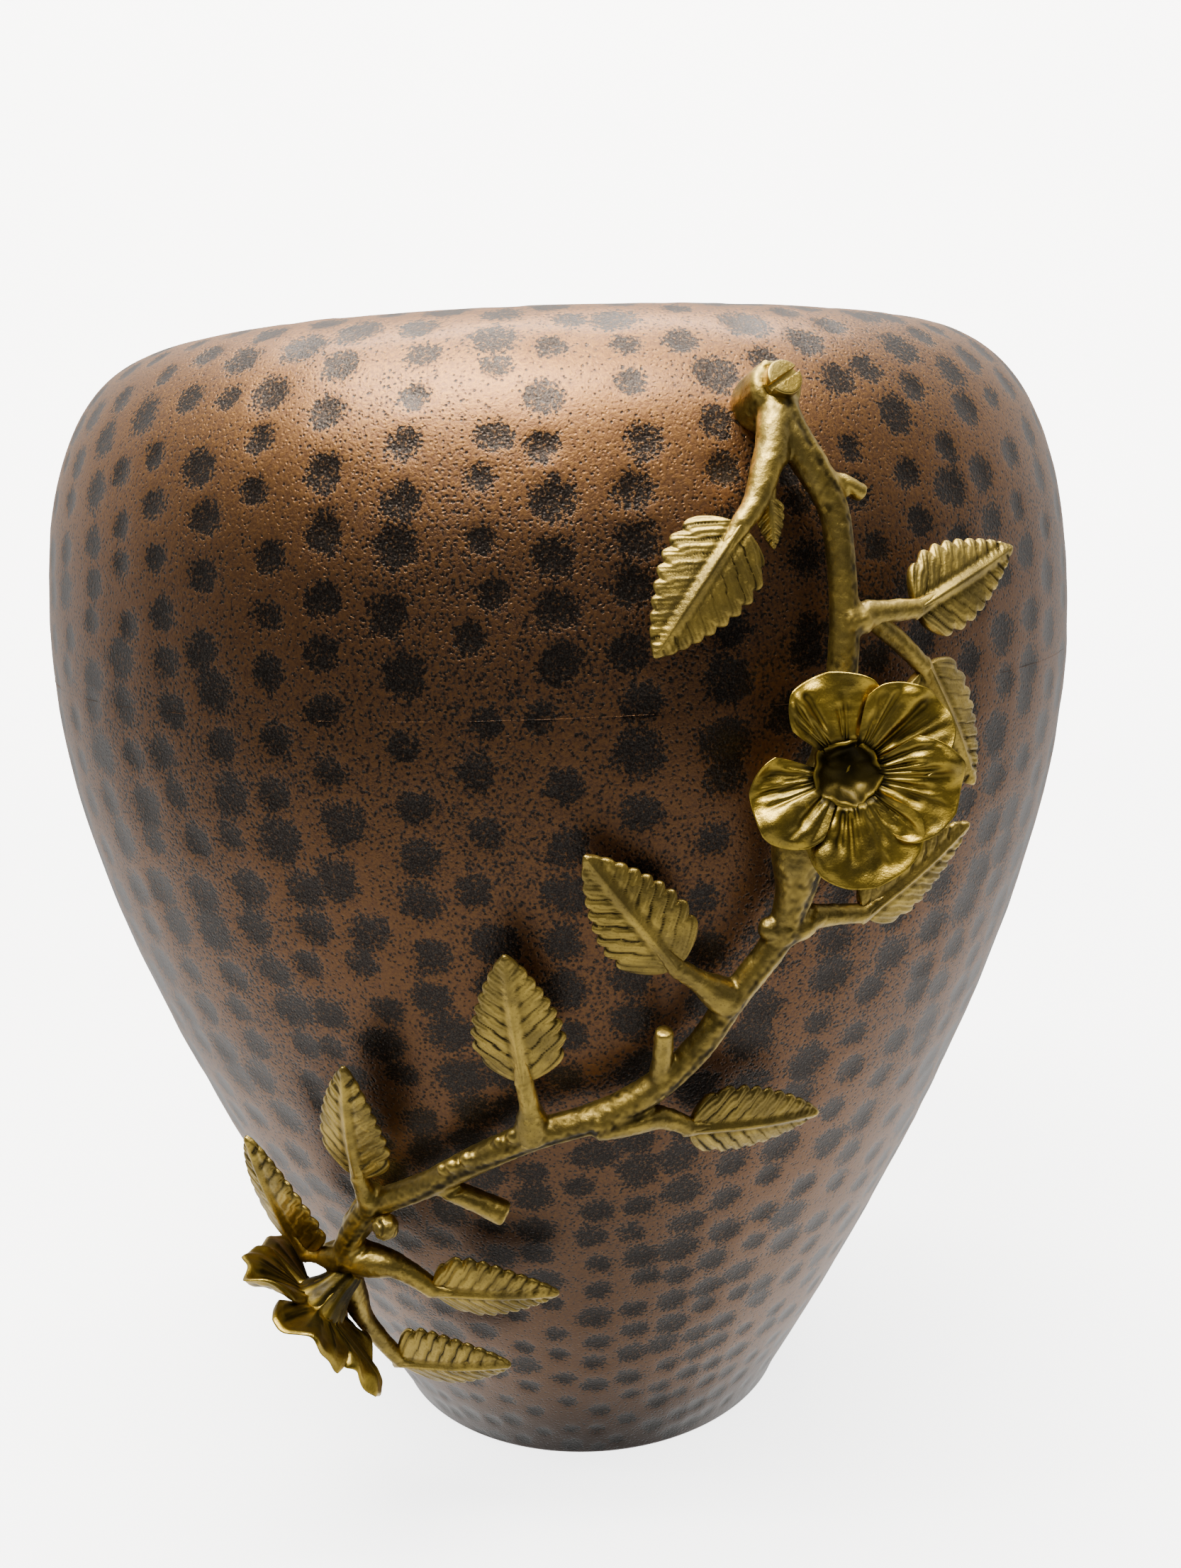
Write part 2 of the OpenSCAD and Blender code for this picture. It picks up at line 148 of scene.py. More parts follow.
class Builder:
    """Collects points in mm, faces and a value for each point of patina in recesses and painted shade,
    for one mesh.

    A triangle is a face whose last two corners are the same.
    """

    def __init__(self):
        self.points, self.faces, self.recess_and_shade = [], [], []
        self.count = 0

    def add(self, points, faces, recess_and_shade=None):
        points = np.asarray(points, float).reshape(-1, 3)
        self.points.append(points)
        self.faces.append(np.asarray(faces) + self.count)
        self.recess_and_shade.append(
            np.zeros(len(points)) if recess_and_shade is None else np.asarray(recess_and_shade).ravel())
        self.count += len(points)

    def loft(self, rings, recess_and_shade=None, caps=True):
        """A skin over rings of points. Capped ends close on their centre."""
        rings = np.asarray(rings, float)
        m, n = rings.shape[:2]
        values = np.zeros((m, n)) if recess_and_shade is None else np.asarray(recess_and_shade)
        self.add(rings, grid_faces(m, n), values)
        if caps:
            base = self.count - m * n
            for k, flip in ((0, True), (m - 1, False)):
                no_faces = np.zeros((0, 4), int)
                self.add(rings[k].mean(axis=0)[None], no_faces, values[k].mean()[None])
                j = np.arange(n)
                a, b = base + k * n + j, base + k * n + (j + 1) % n
                tip = np.full(n, self.count - 1)
                fan = np.stack([b, a, tip, tip] if flip else [a, b, tip, tip], axis=1)
                self.faces.append(fan)

    def make(self, name):
        points = np.vstack(self.points) * MM
        faces = np.vstack(self.faces)
        # A face of no area would tilt the normals of its neighbours.
        a, b, c, d = (points[faces[:, k]] / MM for k in range(4))
        faces = faces[np.linalg.norm(np.cross(c - a, d - b), axis=1) > 1e-9]
        mesh = bpy.data.meshes.new(name)
        is_tri = faces[:, 2] == faces[:, 3]
        sizes = np.where(is_tri, 3, 4)
        loops = np.concatenate([f[:n] for f, n in zip(faces, sizes)])
        mesh.vertices.add(len(points))
        mesh.vertices.foreach_set("co", points.ravel())
        mesh.loops.add(len(loops))
        mesh.loops.foreach_set("vertex_index", loops.astype(np.int32))
        mesh.polygons.add(len(faces))
        starts = np.concatenate([[0], np.cumsum(sizes)[:-1]])
        mesh.polygons.foreach_set("loop_start", starts.astype(np.int32))
        mesh.polygons.foreach_set("use_smooth", np.ones(len(faces), bool))
        mesh.update(calc_edges=True)
        mesh.validate()
        values = mesh.attributes.new("recess_and_shade", "FLOAT", "POINT")
        values.data.foreach_set("value", np.concatenate(self.recess_and_shade).astype(np.float32))
        piece = bpy.data.objects.new(name, mesh)
        bpy.context.scene.collection.objects.link(piece)
        return piece


def grid_faces(m, n, closed=True):
    """Quads over m rows of n points, the rows closed into rings or left open."""
    i = np.arange(m - 1)[:, None]
    j = np.arange(n if closed else n - 1)[None, :]
    a, b = i * n + j, i * n + (j + 1) % n
    return np.stack([a, b, b + n, a + n], axis=-1).reshape(-1, 4)


def spline(rows, per_gap):
    """Rows smoothed by a curve through every one of them."""
    rows = np.asarray(rows, float)
    padded = np.vstack([rows[:1], rows, rows[-1:]])
    out = []
    for i in range(len(rows) - 1):
        a, b, c, d = padded[i:i + 4]
        for t in np.arange(per_gap) / per_gap:
            out.append(0.5 * (2 * b + (c - a) * t + (2 * a - 5 * b + 4 * c - d) * t * t
                              + (3 * b - a - 3 * c + d) * t ** 3))
    out.append(rows[-1])
    return np.array(out)


def waves(points, seed, size, count=10):
    """A smooth seeded unevenness from -1 to 1 over points, about size mm across."""
    rng = np.random.default_rng(seed)
    total = np.zeros(points.shape[:-1])
    for _ in range(count):
        direction = unit(rng.normal(size=3)) * 2 * math.pi / (size * rng.uniform(0.7, 1.6))
        total += np.sin(points @ direction + rng.uniform(0, 2 * math.pi))
    return total / math.sqrt(count / 2) / 1.6


def nearest_on(points, path):
    """For each point, its distance from a path of points and the index of the nearest one."""
    best = np.full(len(points), 1e9)
    index = np.zeros(len(points), int)
    for k, place in enumerate(path):
        away = ((points - place) ** 2).sum(axis=1)
        closer = away < best
        best[closer] = away[closer]
        index[closer] = k
    return np.sqrt(best), index


# -------- the vine's layout, as in the CAD

# Routes are rows of [azimuth, height %, lift off the wall in mm, share of the stem's radius]
STEM_R = 2.9
STEM = [
    [18.4, 91.6, 5.0, 1.25], [19.1, 89.7, 5.5, 1.12], [20.6, 87.5, 6.0, 1.03],
    [21.9, 85.3, 6.0, 0.92], [22.3, 81.8, 6.0, 0.88], [22.3, 78.0, 6.0, 0.92],
    [21.8, 74.0, 6.2, 1.0], [20.8, 70.0, 6.8, 1.2], [19.4, 67.0, 7.2, 1.55],
    [18.3, 64.4, 7.4, 1.65], [18.4, 61.8, 7.0, 1.3], [18.0, 59.6, 6.6, 1.05],
    [17.0, 57.3, 6.3, 0.97], [13.9, 53.8, 6.0, 0.95], [11.0, 50.1, 6.0, 0.95],
    [7.0, 47.1, 6.0, 1.0], [2.0, 45.0, 6.0, 1.0], [-4.6, 43.4, 6.0, 1.0],
    [-10.4, 41.2, 6.0, 1.0], [-17.0, 38.2, 6.0, 0.95], [-22.0, 36.4, 6.3, 0.95],
    [-25.5, 35.0, 7.0, 0.97], [-27.8, 33.2, 8.2, 1.0], [-29.6, 31.2, 9.8, 1.05],
    [-30.5, 29.9, 10.6, 1.1]]
FORK = [[18.4, 91.4, 5.0, 1.15], [17.5, 90.0, 6.0, 1.0], [16.8, 88.0, 6.4, 0.95]]
STUB_RIGHT = [[21.4, 87.0, 6.0, 0.75], [23.0, 86.5, 6.3, 0.62], [24.5, 86.0, 6.6, 0.5]]
STUB_MIDDLE = [[7.4, 47.8, 6.0, 0.75], [7.5, 49.8, 6.5, 0.65], [7.5, 52.0, 7.0, 0.6]]
STUB_LOWER = [[-16.4, 38.4, 6.0, 0.75], [-12.5, 37.5, 6.5, 0.75], [-8.8, 36.3, 7.0, 0.85]]
# Rows of [azimuth, height %, lift, radius in mm]
KNOTS = [
    [-14.6, 40.4, 7.0, 1.2], [-13.3, 41.0, 7.5, 1.5], [-11.6, 41.7, 7.4, 1.5],
    [-6.6, 43.9, 7.3, 1.5], [-8.2, 43.2, 6.9, 1.1], [16.4, 58.8, 6.6, 2.2]]
TOP_FIX = [18.3, 92.2, 7.6]      # azimuth, height % and lift of the top screw's seat
# Pads that hide the studs: [azimuth, height %, root radius, lift of the end]
STUD_PADS = [[19.2, 67.3, 3.5, 7.0], [-27.8, 33.2, 3.6, 8.0]]
HEAD_R, HEAD_H, SLOT_W = 3.0, 2.2, 1.0

# A leaf: its twig's route, then [heading, lean, roll, share of length, share of width]
LEAF_L, LEAF_W = 26.0, 16.0
LEAVES = [
    [[[16.8, 88.5, 6.4, 0.75], [15.2, 85.9, 7.0, 0.7], [13.6, 84.4, 7.5, 0.6]],
     [-127, -6, 8, 0.95, 1.0]],
    [[[22.3, 78.3, 6.0, 0.7], [24.4, 78.7, 6.5, 0.75], [28.9, 78.8, 7.0, 0.6]],
     [22, 0, -6, 0.92, 0.95]],
    [[[24.2, 78.6, 6.4, 0.6], [26.6, 77.2, 6.6, 0.6], [29.6, 75.0, 7.0, 0.55]],
     [-62, 0, 0, 0.94, 1.0]],
    [[[17.6, 58.6, 6.4, 0.75], [20.6, 59.2, 6.5, 0.7], [25.3, 58.9, 7.0, 0.6]],
     [35, 0, 0, 0.96, 0.92]],
    [[[13.5, 53.6, 6.0, 0.75], [10.8, 55.3, 6.6, 0.7], [8.3, 56.9, 7.0, 0.6]],
     [125.5, -4, 0, 1.02, 1.0]],
    [[[-4.8, 43.6, 6.0, 0.75], [-4.8, 46.0, 6.6, 0.65], [-5.1, 48.6, 7.0, 0.6]],
     [92.5, 0, 0, 1.04, 1.0]],
    [[[1.5, 44.6, 6.0, 0.75], [7.3, 44.7, 6.5, 0.7], [10.6, 43.6, 7.0, 0.6]],
     [-4.5, -4, 0, 0.98, 1.0]],
    [[[-24.3, 35.7, 6.6, 0.7], [-24.9, 37.2, 7.0, 0.65], [-25.0, 38.6, 7.0, 0.6]],
     [78, 1.5, 0, 1.18, 0.88]],
    [[[-30.6, 30.6, 10.4, 0.7], [-33.4, 30.4, 11.2, 0.65], [-35.8, 30.6, 12.0, 0.6]],
     [93, -3, 0, 1.2, 1.0]],
    [[[-30.2, 30.8, 10.0, 0.8], [-24.0, 30.0, 8.6, 0.8], [-19.8, 27.6, 8.0, 0.65]],
     [1, -7, 0, 0.99, 1.05]],
    [[[-31.0, 29.8, 10.8, 0.7], [-32.0, 23.5, 11.0, 0.65], [-30.2, 17.9, 10.0, 0.6]],
     [4, -12, 0, 1.0, 1.12]]]
BUD_LEAF = [[[16.6, 87.6, 6.6, 0.55], [16.2, 86.6, 6.8, 0.5], [16.1, 86.0, 7.0, 0.45]],
            [-86, -6, 15, 0.32, 0.3]]
ROUND_BUD = [[-24.8, 35.0, 7.2, 0.6], [-23.5, 34.6, 8.6, 0.45], [-22.6, 34.8, 9.6, 0.5]]
BUD_R = 2.6

# A flower: [azimuth, height %, lift of its base], [azimuth, elevation] that it faces,
# and its petals as [angle, share of the reach, half width in degrees]
CUP_R, CUP_H = 5.0, 10
UPPER_FLOWER = [[22.2, 69.0, 5.4], [-5, 7], [
    [100, 0.9, 42], [37, 1.0, 40], [347, 0.99, 42], [283, 1.0, 48], [207, 0.9, 42]]]
LOWER_FLOWER = [[-29.9, 29.3, 11.2], [-72, -40], [
    [15, 1.0, 44], [87, 0.95, 42], [159, 1.0, 44], [231, 0.95, 42], [303, 1.0, 44]]]


# -------- the hammered wall

AROUND = 520         # points round the body
AZIMUTHS = np.arange(AROUND) * 360 / AROUND
COLUMNS = 56         # chains of hammer marks round the body
MARK_STEP = 9.2      # mm between the marks of a chain
MARK_R = 4.3         # radius of a mark
DIMPLE = 0.30        # depth of a mark
STAGGER = 0.28       # how far each chain starts up from the last, as a share of the step
DRIFT = 2.6          # mm that the chains rise and fall by, round the body
BOWL = 1.5           # a dimple's radius, as a share of the mark's radius
STAIN = 2.0          # its dark stain's radius, as a share of the same
STAIN_EDGE = 1.15    # and the width over which the stain fades
UNEVEN = 0.10        # depth of the wall's slow unevenness
UNEVEN_SIZE = 26     # and its size in mm
VINE_SHADOW = 0.85         # darkness of the vine's painted shadow on the wall
VINE_SHADOW_REACH = 5.5    # and how far it fades over, in mm
seam_way = arc[STEPS - 1]


def hammer_marks():
    """Rows of [azimuth in degrees, distance up the wall, radius, depth], struck by hand."""
    rng = np.random.default_rng(11)
    length = arc[-1]
    marks = []
    for column in range(COLUMNS):
        for row in range(-1, int(length / MARK_STEP) + 2):
            drift = DRIFT * math.sin(column * 2 * math.pi * 5 / COLUMNS + row * 0.35)
            way = (row + STAGGER * (column % 3)) * MARK_STEP + drift + rng.normal(0, 0.11) * MARK_STEP
            if not -1 < way < length + 1:
                continue
            sway = 0.16 * math.sin(row / 4.3 + column * 0.7) + rng.normal(0, 0.10)
            narrow = 0.50 + 0.50 * math.sin(math.pi * min(max(way / length, 0.06), 0.80))
            size = MARK_R * rng.uniform(0.70, 1.14) * narrow
            azimuth = (column + sway) * 360 / COLUMNS
            marks.append([azimuth, way, size, DIMPLE * rng.uniform(0.5, 1.15)])
    return np.array(marks)


MARKS = hammer_marks()


def hammered(way, radius):
    """Dimple depth and mark strength on a grid of azimuth columns by rows up the wall."""
    depth = np.zeros((len(way), AROUND))
    strength = np.zeros_like(depth)
    step = AZIMUTHS[1]
    for centre, up, size, deep in MARKS:
        reach = size * STAIN
        rows = np.flatnonzero(np.abs(way - up) < reach)
        if not len(rows):
            continue
        span = math.degrees(reach / max(radius[rows].min(), 20))
        first = int(math.floor((centre - span) / step))
        cols = np.arange(first, first + int(2 * span / step) + 3)
        across = np.radians(cols * step - centre)[None, :] * radius[rows][:, None]
        away = np.hypot(across, (way[rows] - up)[:, None] * 1.06) / size
        spot = np.ix_(rows, cols % AROUND)
        bowl = np.clip(1 - (away / BOWL) ** 2, 0, 1) ** 2 * deep
        depth[spot] = np.maximum(depth[spot], bowl)
        stain = np.clip((STAIN - away) / STAIN_EDGE, 0, 1.2)
        strength[spot] = np.maximum(strength[spot], stain)
    return depth, strength


def painted_vine_shadow(skin):
    """A painted shadow of the vine on the wall, falling a little up and round from it."""
    routes = [STEM] + [spec[0] for spec in LEAVES]
    path = np.vstack([spline(rows, 6) for rows in routes])
    shadow = on_wall(path[:, 0] + 0.8, path[:, 1] + 0.9, 0 * path[:, 2])
    away, _ = nearest_on(skin.reshape(-1, 3), shadow)
    return VINE_SHADOW * np.exp(-(away / VINE_SHADOW_REACH) ** 2).reshape(skin.shape[:2])


def revolved(rows, az=AZIMUTHS):
    """Rings of points round the axis from rows of [radius, height]."""
    return turned(np.asarray(rows, float)[:, None, :] + 0 * az[None, :, None], az[None, :])


def hammered_skin(ways, to_border, calm_over):
    """Rings of the wall's outside, calmer near a border, and how dark each point is."""
    i = np.interp(ways, arc, INDEX)
    rz, out = table_at(CURVE, i), table_at(OUTWARD, i)
    depth, strength = hammered(ways, rz[:, 0])
    calm = smoothstep(-1, calm_over, to_border)[:, None]
    skin = revolved(rz)
    # the vine's painted shadow joins the marks' darkness
    strength = np.maximum(strength, painted_vine_shadow(skin))
    slow = UNEVEN * (waves(skin, 5, UNEVEN_SIZE) - 1)
    pushed = (-depth + slow) * (0.15 + 0.85 * calm) - CLEARANCE
    return turned(rz[:, None, :] + pushed[..., None] * out[:, None, :], AZIMUTHS[None, :]), strength


def offset_curve(ways, depth):
    """Rows of [radius, height] at distances up the wall, depth mm under its outside."""
    i = np.interp(ways, arc, INDEX)
    return table_at(CURVE, i) - depth * table_at(OUTWARD, i)


def circle_rows(centre, radius, start, end, count):
    """Rows of [radius, height] along an arc, from one angle in degrees to another."""
    a = np.radians(np.linspace(start, end, count))
    return np.stack([centre[0] + radius * np.cos(a), centre[1] + radius * np.sin(a)], axis=1)


def foot_and_wall():
    """The lower half: flat base, foot round and wall outside, the lap's step, and the inside."""
    ways = np.append(np.linspace(0, seam_way - 0.09, 130), seam_way)
    skin, strength = hammered_skin(ways, ways, 6)
    lean = math.degrees(FOOT_LEAN)
    round_c = (round_r, FOOT_ROUND)
    below = revolved(np.vstack([
        [[r, CLEARANCE] for r in (0.5, 12, 26, 38)],
        circle_rows(round_c, FOOT_ROUND - CLEARANCE, -90, -lean - 6, 8)]))
    above = revolved(np.vstack([
        offset_curve([seam_way - 0.02], 0.12),
        offset_curve(np.linspace(seam_way, seam_way + LAP, 4), WALL + 0.08),
        offset_curve(np.linspace(seam_way + LAP, seam_way, 4), 2 * WALL),
        offset_curve(np.linspace(seam_way - 8, 1.0, 22), WALL),
        circle_rows(round_c, FOOT_ROUND - WALL, -lean, -90, 4),
        [[r, WALL] for r in (40, 25, 10, 0.5)]]))
    builder = Builder()
    builder.loft(np.concatenate([below, skin, skin[-1:], above]), np.concatenate([
        np.zeros(below.shape[:2]), strength, strength[-1:], np.zeros(above.shape[:2])]))
    return builder.make("hammered_body")


def shoulder_and_rim():
    """The upper half: wall up to the crest, the rolled rim, and the inside back to the seam."""
    ways = np.insert(np.linspace(seam_way + 0.09, arc[-1], 118), 0, seam_way)
    skin, strength = hammered_skin(ways, arc[-1] - ways, 5)
    roll_in = WIRE_R + 0.05
    roll_c = (CREST_R, BODY_H - roll_in - WALL)
    above = revolved(np.vstack([
        circle_rows(roll_c, roll_in + WALL - CLEARANCE, 95, 310, 22),
        circle_rows(roll_c, roll_in, 310, 96, 18),
        offset_curve(np.linspace(arc[-1] - 0.8, seam_way + 0.02, 26), WALL)]))
    # The edge tucks just inside the lower half's, so that no gap shows between them.
    tuck = skin[:1] * [1 - 0.08 / BODY_R, 1 - 0.08 / BODY_R, 1] - [0, 0, 0.05]
    edge = strength[:1]
    builder = Builder()
    builder.loft(
        np.concatenate([tuck, skin[:1], skin, above, tuck]),
        np.concatenate([edge, edge, strength, np.zeros(above.shape[:2]), edge]), caps=False)
    return builder.make("hammered_shoulder")


body = foot_and_wall()
shoulder = shoulder_and_rim()


# -------- materials

def ramp_node(tree, value, low, high, to_low, to_high):
    made = tree.nodes.new("ShaderNodeMapRange")
    made.interpolation_type = "SMOOTHSTEP"
    tree.links.new(value, made.inputs["Value"])
    keys = ("From Min", "From Max", "To Min", "To Max")
    for key, number in zip(keys, (low, high, to_low, to_high)):
        made.inputs[key].default_value = number
    return made.outputs["Result"]


class Nodes:
    """A small helper to write a node material as plain calls."""

    def __init__(self, name):
        self.material = bpy.data.materials.new(name)
        self.material.use_nodes = True
        self.tree = self.material.node_tree
        self.shader = self.tree.nodes["Principled BSDF"]
        self.place = self.node("ShaderNodeTexCoord").outputs["Object"]

    def node(self, kind, **settings):
        made = self.tree.nodes.new(kind)
        for key, value in settings.items():
            setattr(made, key, value)
        return made

    def feed(self, socket, value):
        if isinstance(value, bpy.types.NodeSocket):
            self.tree.links.new(value, socket)
        else:
            socket.default_value = value

    def math(self, operation, a, b=0.0, clamp=False):
        made = self.node("ShaderNodeMath", operation=operation, use_clamp=clamp)
        self.feed(made.inputs[0], a)
        self.feed(made.inputs[1], b)
        return made.outputs[0]

    def noise(self, size_mm, detail=2.0, rough=0.5):
        made = self.node("ShaderNodeTexNoise")
        made.inputs["Scale"].default_value = 1 / (size_mm * MM)
        made.inputs["Detail"].default_value = detail
        made.inputs["Roughness"].default_value = rough
        self.feed(made.inputs["Vector"], self.place)
        return made.outputs["Fac"]

    def cells(self, size_mm):
        made = self.node("ShaderNodeTexVoronoi", feature="F1")
        made.inputs["Scale"].default_value = 1 / (size_mm * MM)
        self.feed(made.inputs["Vector"], self.place)
        return made.outputs["Distance"]

    def ramp(self, value, low, high, to_low=0.0, to_high=1.0):
        """Eases from to_low to to_high as a value goes from low to high."""
        return ramp_node(self.tree, value, low, high, to_low, to_high)

    def mix(self, share, a, b):
        made = self.node("ShaderNodeMix", data_type="RGBA")
        self.feed(made.inputs[0], share)
        self.feed(made.inputs[6], a)
        self.feed(made.inputs[7], b)
        return made.outputs[2]

    def attribute(self, name):
        return self.node("ShaderNodeAttribute", attribute_name=name).outputs["Fac"]

    def bump(self, height, depth_mm, strength=1.0):
        made = self.node("ShaderNodeBump")
        made.inputs["Strength"].default_value = strength
        made.inputs["Distance"].default_value = depth_mm * MM
        self.feed(made.inputs["Height"], height)
        return made.outputs["Normal"]

    def finish(self, colour, roughness, normal, metallic, coat=0.0, coat_rough=0.1):
        self.feed(self.shader.inputs["Base Color"], colour)
        self.feed(self.shader.inputs["Roughness"], roughness)
        self.feed(self.shader.inputs["Normal"], normal)
        self.shader.inputs["Metallic"].default_value = metallic
        self.shader.inputs["Coat Weight"].default_value = coat
        self.shader.inputs["Coat Roughness"].default_value = coat_rough
        return self.material


def rgb(r, g, b):
    """A colour from sRGB 0-255 values."""
    def linear(v):
        v /= 255
        return v / 12.92 if v <= 0.04045 else ((v + 0.055) / 1.055) ** 2.4
    return (linear(r), linear(g), linear(b), 1.0)


def hammered_copper():
    """Antiqued copper: dark pitted patina in each hammer mark, speckling out into warm metal."""
    n = Nodes("hammered_copper")
    # The attribute holds each hammer mark's patina and the vine's painted shadow, and both darken the
    # copper alike.
    marks_and_shade = n.attribute("recess_and_shade")
    grain = n.noise(0.55, 3.0, 0.62)
    blotch = n.noise(4.2, 3.0, 0.55)
    area = n.noise(48, 2.0, 0.5)
    pit = n.cells(0.85)
    split = n.node("ShaderNodeSeparateXYZ")
    n.feed(split.inputs[0], n.place)
    height_up = split.outputs["Z"]
    # Round the belly the patina spreads wider, and the copper tone is darkened as painted shade for
    # the dim room in front.
    belly = n.math("MULTIPLY", n.ramp(height_up, 0.050, 0.120), n.ramp(height_up, 0.240, 0.200))
    # The share of the surface that is dark, and the fine uneven threshold that scatters it as specks
    uneven = n.math("MULTIPLY", n.math("SUBTRACT", blotch, 0.5), 0.9)
    marked_and_shaded = n.ramp(n.math("ADD", marks_and_shade, uneven), 0.05, 1.25)
    pitted = n.math("MULTIPLY", n.ramp(area, 0.36, 0.66, 0.70, 1.0), n.ramp(belly, 0, 1, 0.40, 0.59))
    share = n.math("MAXIMUM", marked_and_shaded, n.math("ADD", pitted, n.math("MULTIPLY", uneven, 0.35)))
    threshold = n.math("ADD", n.math("MULTIPLY", n.ramp(grain, 0.30, 0.70), 0.50),
                       n.math("MULTIPLY", n.ramp(pit, 0.08, 0.62), 0.50))
    patina_and_shade = n.ramp(n.math("SUBTRACT", share, threshold), -0.20, 0.24)
    warm = n.mix(n.ramp(area, 0.3, 0.7), rgb(128, 90, 60), rgb(112, 82, 62))
    warm = n.mix(n.ramp(grain, 0.35, 0.7), warm, rgb(156, 112, 64))
    warm = n.mix(n.math("MULTIPLY", belly, 0.55), warm, rgb(92, 66, 50))
    warm = n.mix(n.ramp(height_up, 0.140, 0.050, 0.0, 0.65), warm, rgb(110, 87, 70))
    # Over its lowest 36 mm the copper darkens to deep brown: painted shade for the shadowed table that
    # the foot reflects.
    warm = n.mix(n.ramp(height_up, 0.036, 0.0, 0.0, 1.0), warm, rgb(50, 39, 33))
    dark = n.mix(n.ramp(n.noise(0.28, 2.0), 0.40, 0.66), rgb(28, 29, 30), rgb(62, 61, 58))
    colour = n.mix(n.math("MULTIPLY", patina_and_shade, 0.92), warm, dark)
    rough = n.math("ADD", n.ramp(patina_and_shade, 0, 1, 0.36, 0.33), n.math("MULTIPLY", grain, 0.12))
    crater = n.ramp(pit, 0.05, 0.42)
    height = n.math("ADD", n.math("MULTIPLY", grain, 0.9), n.math("MULTIPLY", crater, 0.55))
    height = n.math("SUBTRACT", height, n.math("MULTIPLY", patina_and_shade, 0.25))
    normal = n.bump(height, 0.10, 0.9)
    return n.finish(colour, rough, normal, 1.0, 0.17, 0.3)


def dress(piece, material, slot, *nodes):
    """Gives a piece its material, hangs it on the root, and hides the CAD nodes that it stands for."""
    piece.data.materials.clear()
    piece.data.materials.append(material)
    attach(piece, "root")
    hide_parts(*nodes)


copper = hammered_copper()
dress(body, copper, "hammered_copper", "body_lower")
dress(shoulder, copper, "hammered_copper", "body_upper")


# -------- the vine's stem

def tube_frames(rows, per_gap=8):
    """Centres, side and outward directions, and radii in mm, along a smoothed route."""
    way = spline(rows, per_gap)
    centres = on_wall(way[:, 0], way[:, 1], way[:, 2])
    along = unit(np.gradient(centres, axis=0))
    outs = turned(at_height(way[:, 1], OUTWARD), way[:, 0])
    side = unit(np.cross(outs, along))
    return centres, side, np.cross(along, side), way[:, 3] * STEM_R


def tube(builder, rows, sides=20, blunt=0.5):
    """A round branch. Its ends round off over a length of blunt times the radius."""
    centres, side, out, radius = tube_frames(rows)
    w = ring_angles(sides)[None, :, None]
    section = np.cos(w) * side[:, None, :] + np.sin(w) * out[:, None, :]
    rings = list(centres[:, None, :] + radius[:, None, None] * section)
    for end, neighbour in ((0, 1), (-1, -2)):
        away = unit(centres[end] - centres[neighbour])
        extra = [
            centres[end] + away * radius[end] * blunt * math.sin(a)
            + radius[end] * math.cos(a) * section[end] for a in (0.5, 1.0, 1.35)]
        rings = extra[::-1] + rings if end == 0 else rings + extra
    builder.loft(rings)


def ball(builder, centre, radius, columns=16, rows=10):
    """A sphere, with small flat caps at its poles."""
    a = np.radians(np.linspace(-85, 85, rows))
    w = ring_angles(columns)
    rings = np.stack([
        np.cos(a)[:, None] * np.cos(w), np.cos(a)[:, None] * np.sin(w),
        np.sin(a)[:, None] + 0 * w], axis=-1) * radius + centre
    builder.loft(rings)


def turned_shape(builder, foot, side, up, out, rows, columns):
    """A turned shape about the direction out, from rows of [radius, height above foot]."""
    w = ring_angles(columns)[:, None]
    builder.loft([
        foot + height * out + radius * (np.cos(w) * side + np.sin(w) * up)
        for radius, height in rows])


def wall_lathe(builder, fix, rows, columns=40):
    """A turned shape standing on the wall at fix, from rows of [radius, lift]."""
    side, up, out = wall_axes(*fix[:2])
    turned_shape(builder, on_wall(*fix[:2], 0.0), side, up, out, rows, columns)


def evaluated(piece):
    """Gives the piece its mesh with the modifiers applied, and returns that mesh."""
    graph = bpy.context.evaluated_depsgraph_get()
    mesh = bpy.data.meshes.new_from_object(piece.evaluated_get(graph))
    piece.modifiers.clear()
    old = piece.data
    piece.data = mesh
    bpy.data.meshes.remove(old)
    return mesh


def fused(piece, voxel_mm, smoothing):
    """Welds overlapping closed shapes into one skin and softens where they meet."""
    remesh = piece.modifiers.new("weld", "REMESH")
    remesh.mode = "VOXEL"
    remesh.voxel_size = voxel_mm * MM
    soften = piece.modifiers.new("soften", "SMOOTH")
    soften.factor = 0.5
    soften.iterations = smoothing
    mesh = evaluated(piece)
    mesh.polygons.foreach_set("use_smooth", np.ones(len(mesh.polygons), bool))
    return mesh


def per_vertex(mesh, what):
    """Each vertex's co or normal."""
    found = np.empty(len(mesh.vertices) * 3, np.float32)
    mesh.vertices.foreach_get(what, found)
    return found.reshape(-1, 3).astype(float)


def cast_surface(mesh, seed, depth=0.07, extra=0.0, recess_and_shade=0.0):
    """Pushes a mesh in and out like an old casting, and stores how sunken each point is, plus any
    patina and painted shade given.
    """
    points, normals = per_vertex(mesh, "co") / MM, per_vertex(mesh, "normal")
    rough = 0.6 * waves(points, seed, 2.6, 16) + 0.4 * waves(points, seed + 1, 1.1, 18)
    push = depth * (rough - 0.4) + extra
    points += normals * push[:, None]
    mesh.vertices.foreach_set("co", (points * MM).astype(np.float32).ravel())
    value = np.clip(0.25 - 0.5 * rough, 0, 1) * 0.5 + recess_and_shade
    if "recess_and_shade" in mesh.attributes:
        mesh.attributes.remove(mesh.attributes["recess_and_shade"])
    mesh.attributes.new("recess_and_shade", "FLOAT", "POINT").data.foreach_set(
        "value", np.clip(value, 0, 1.5).astype(np.float32))
    mesh.update()


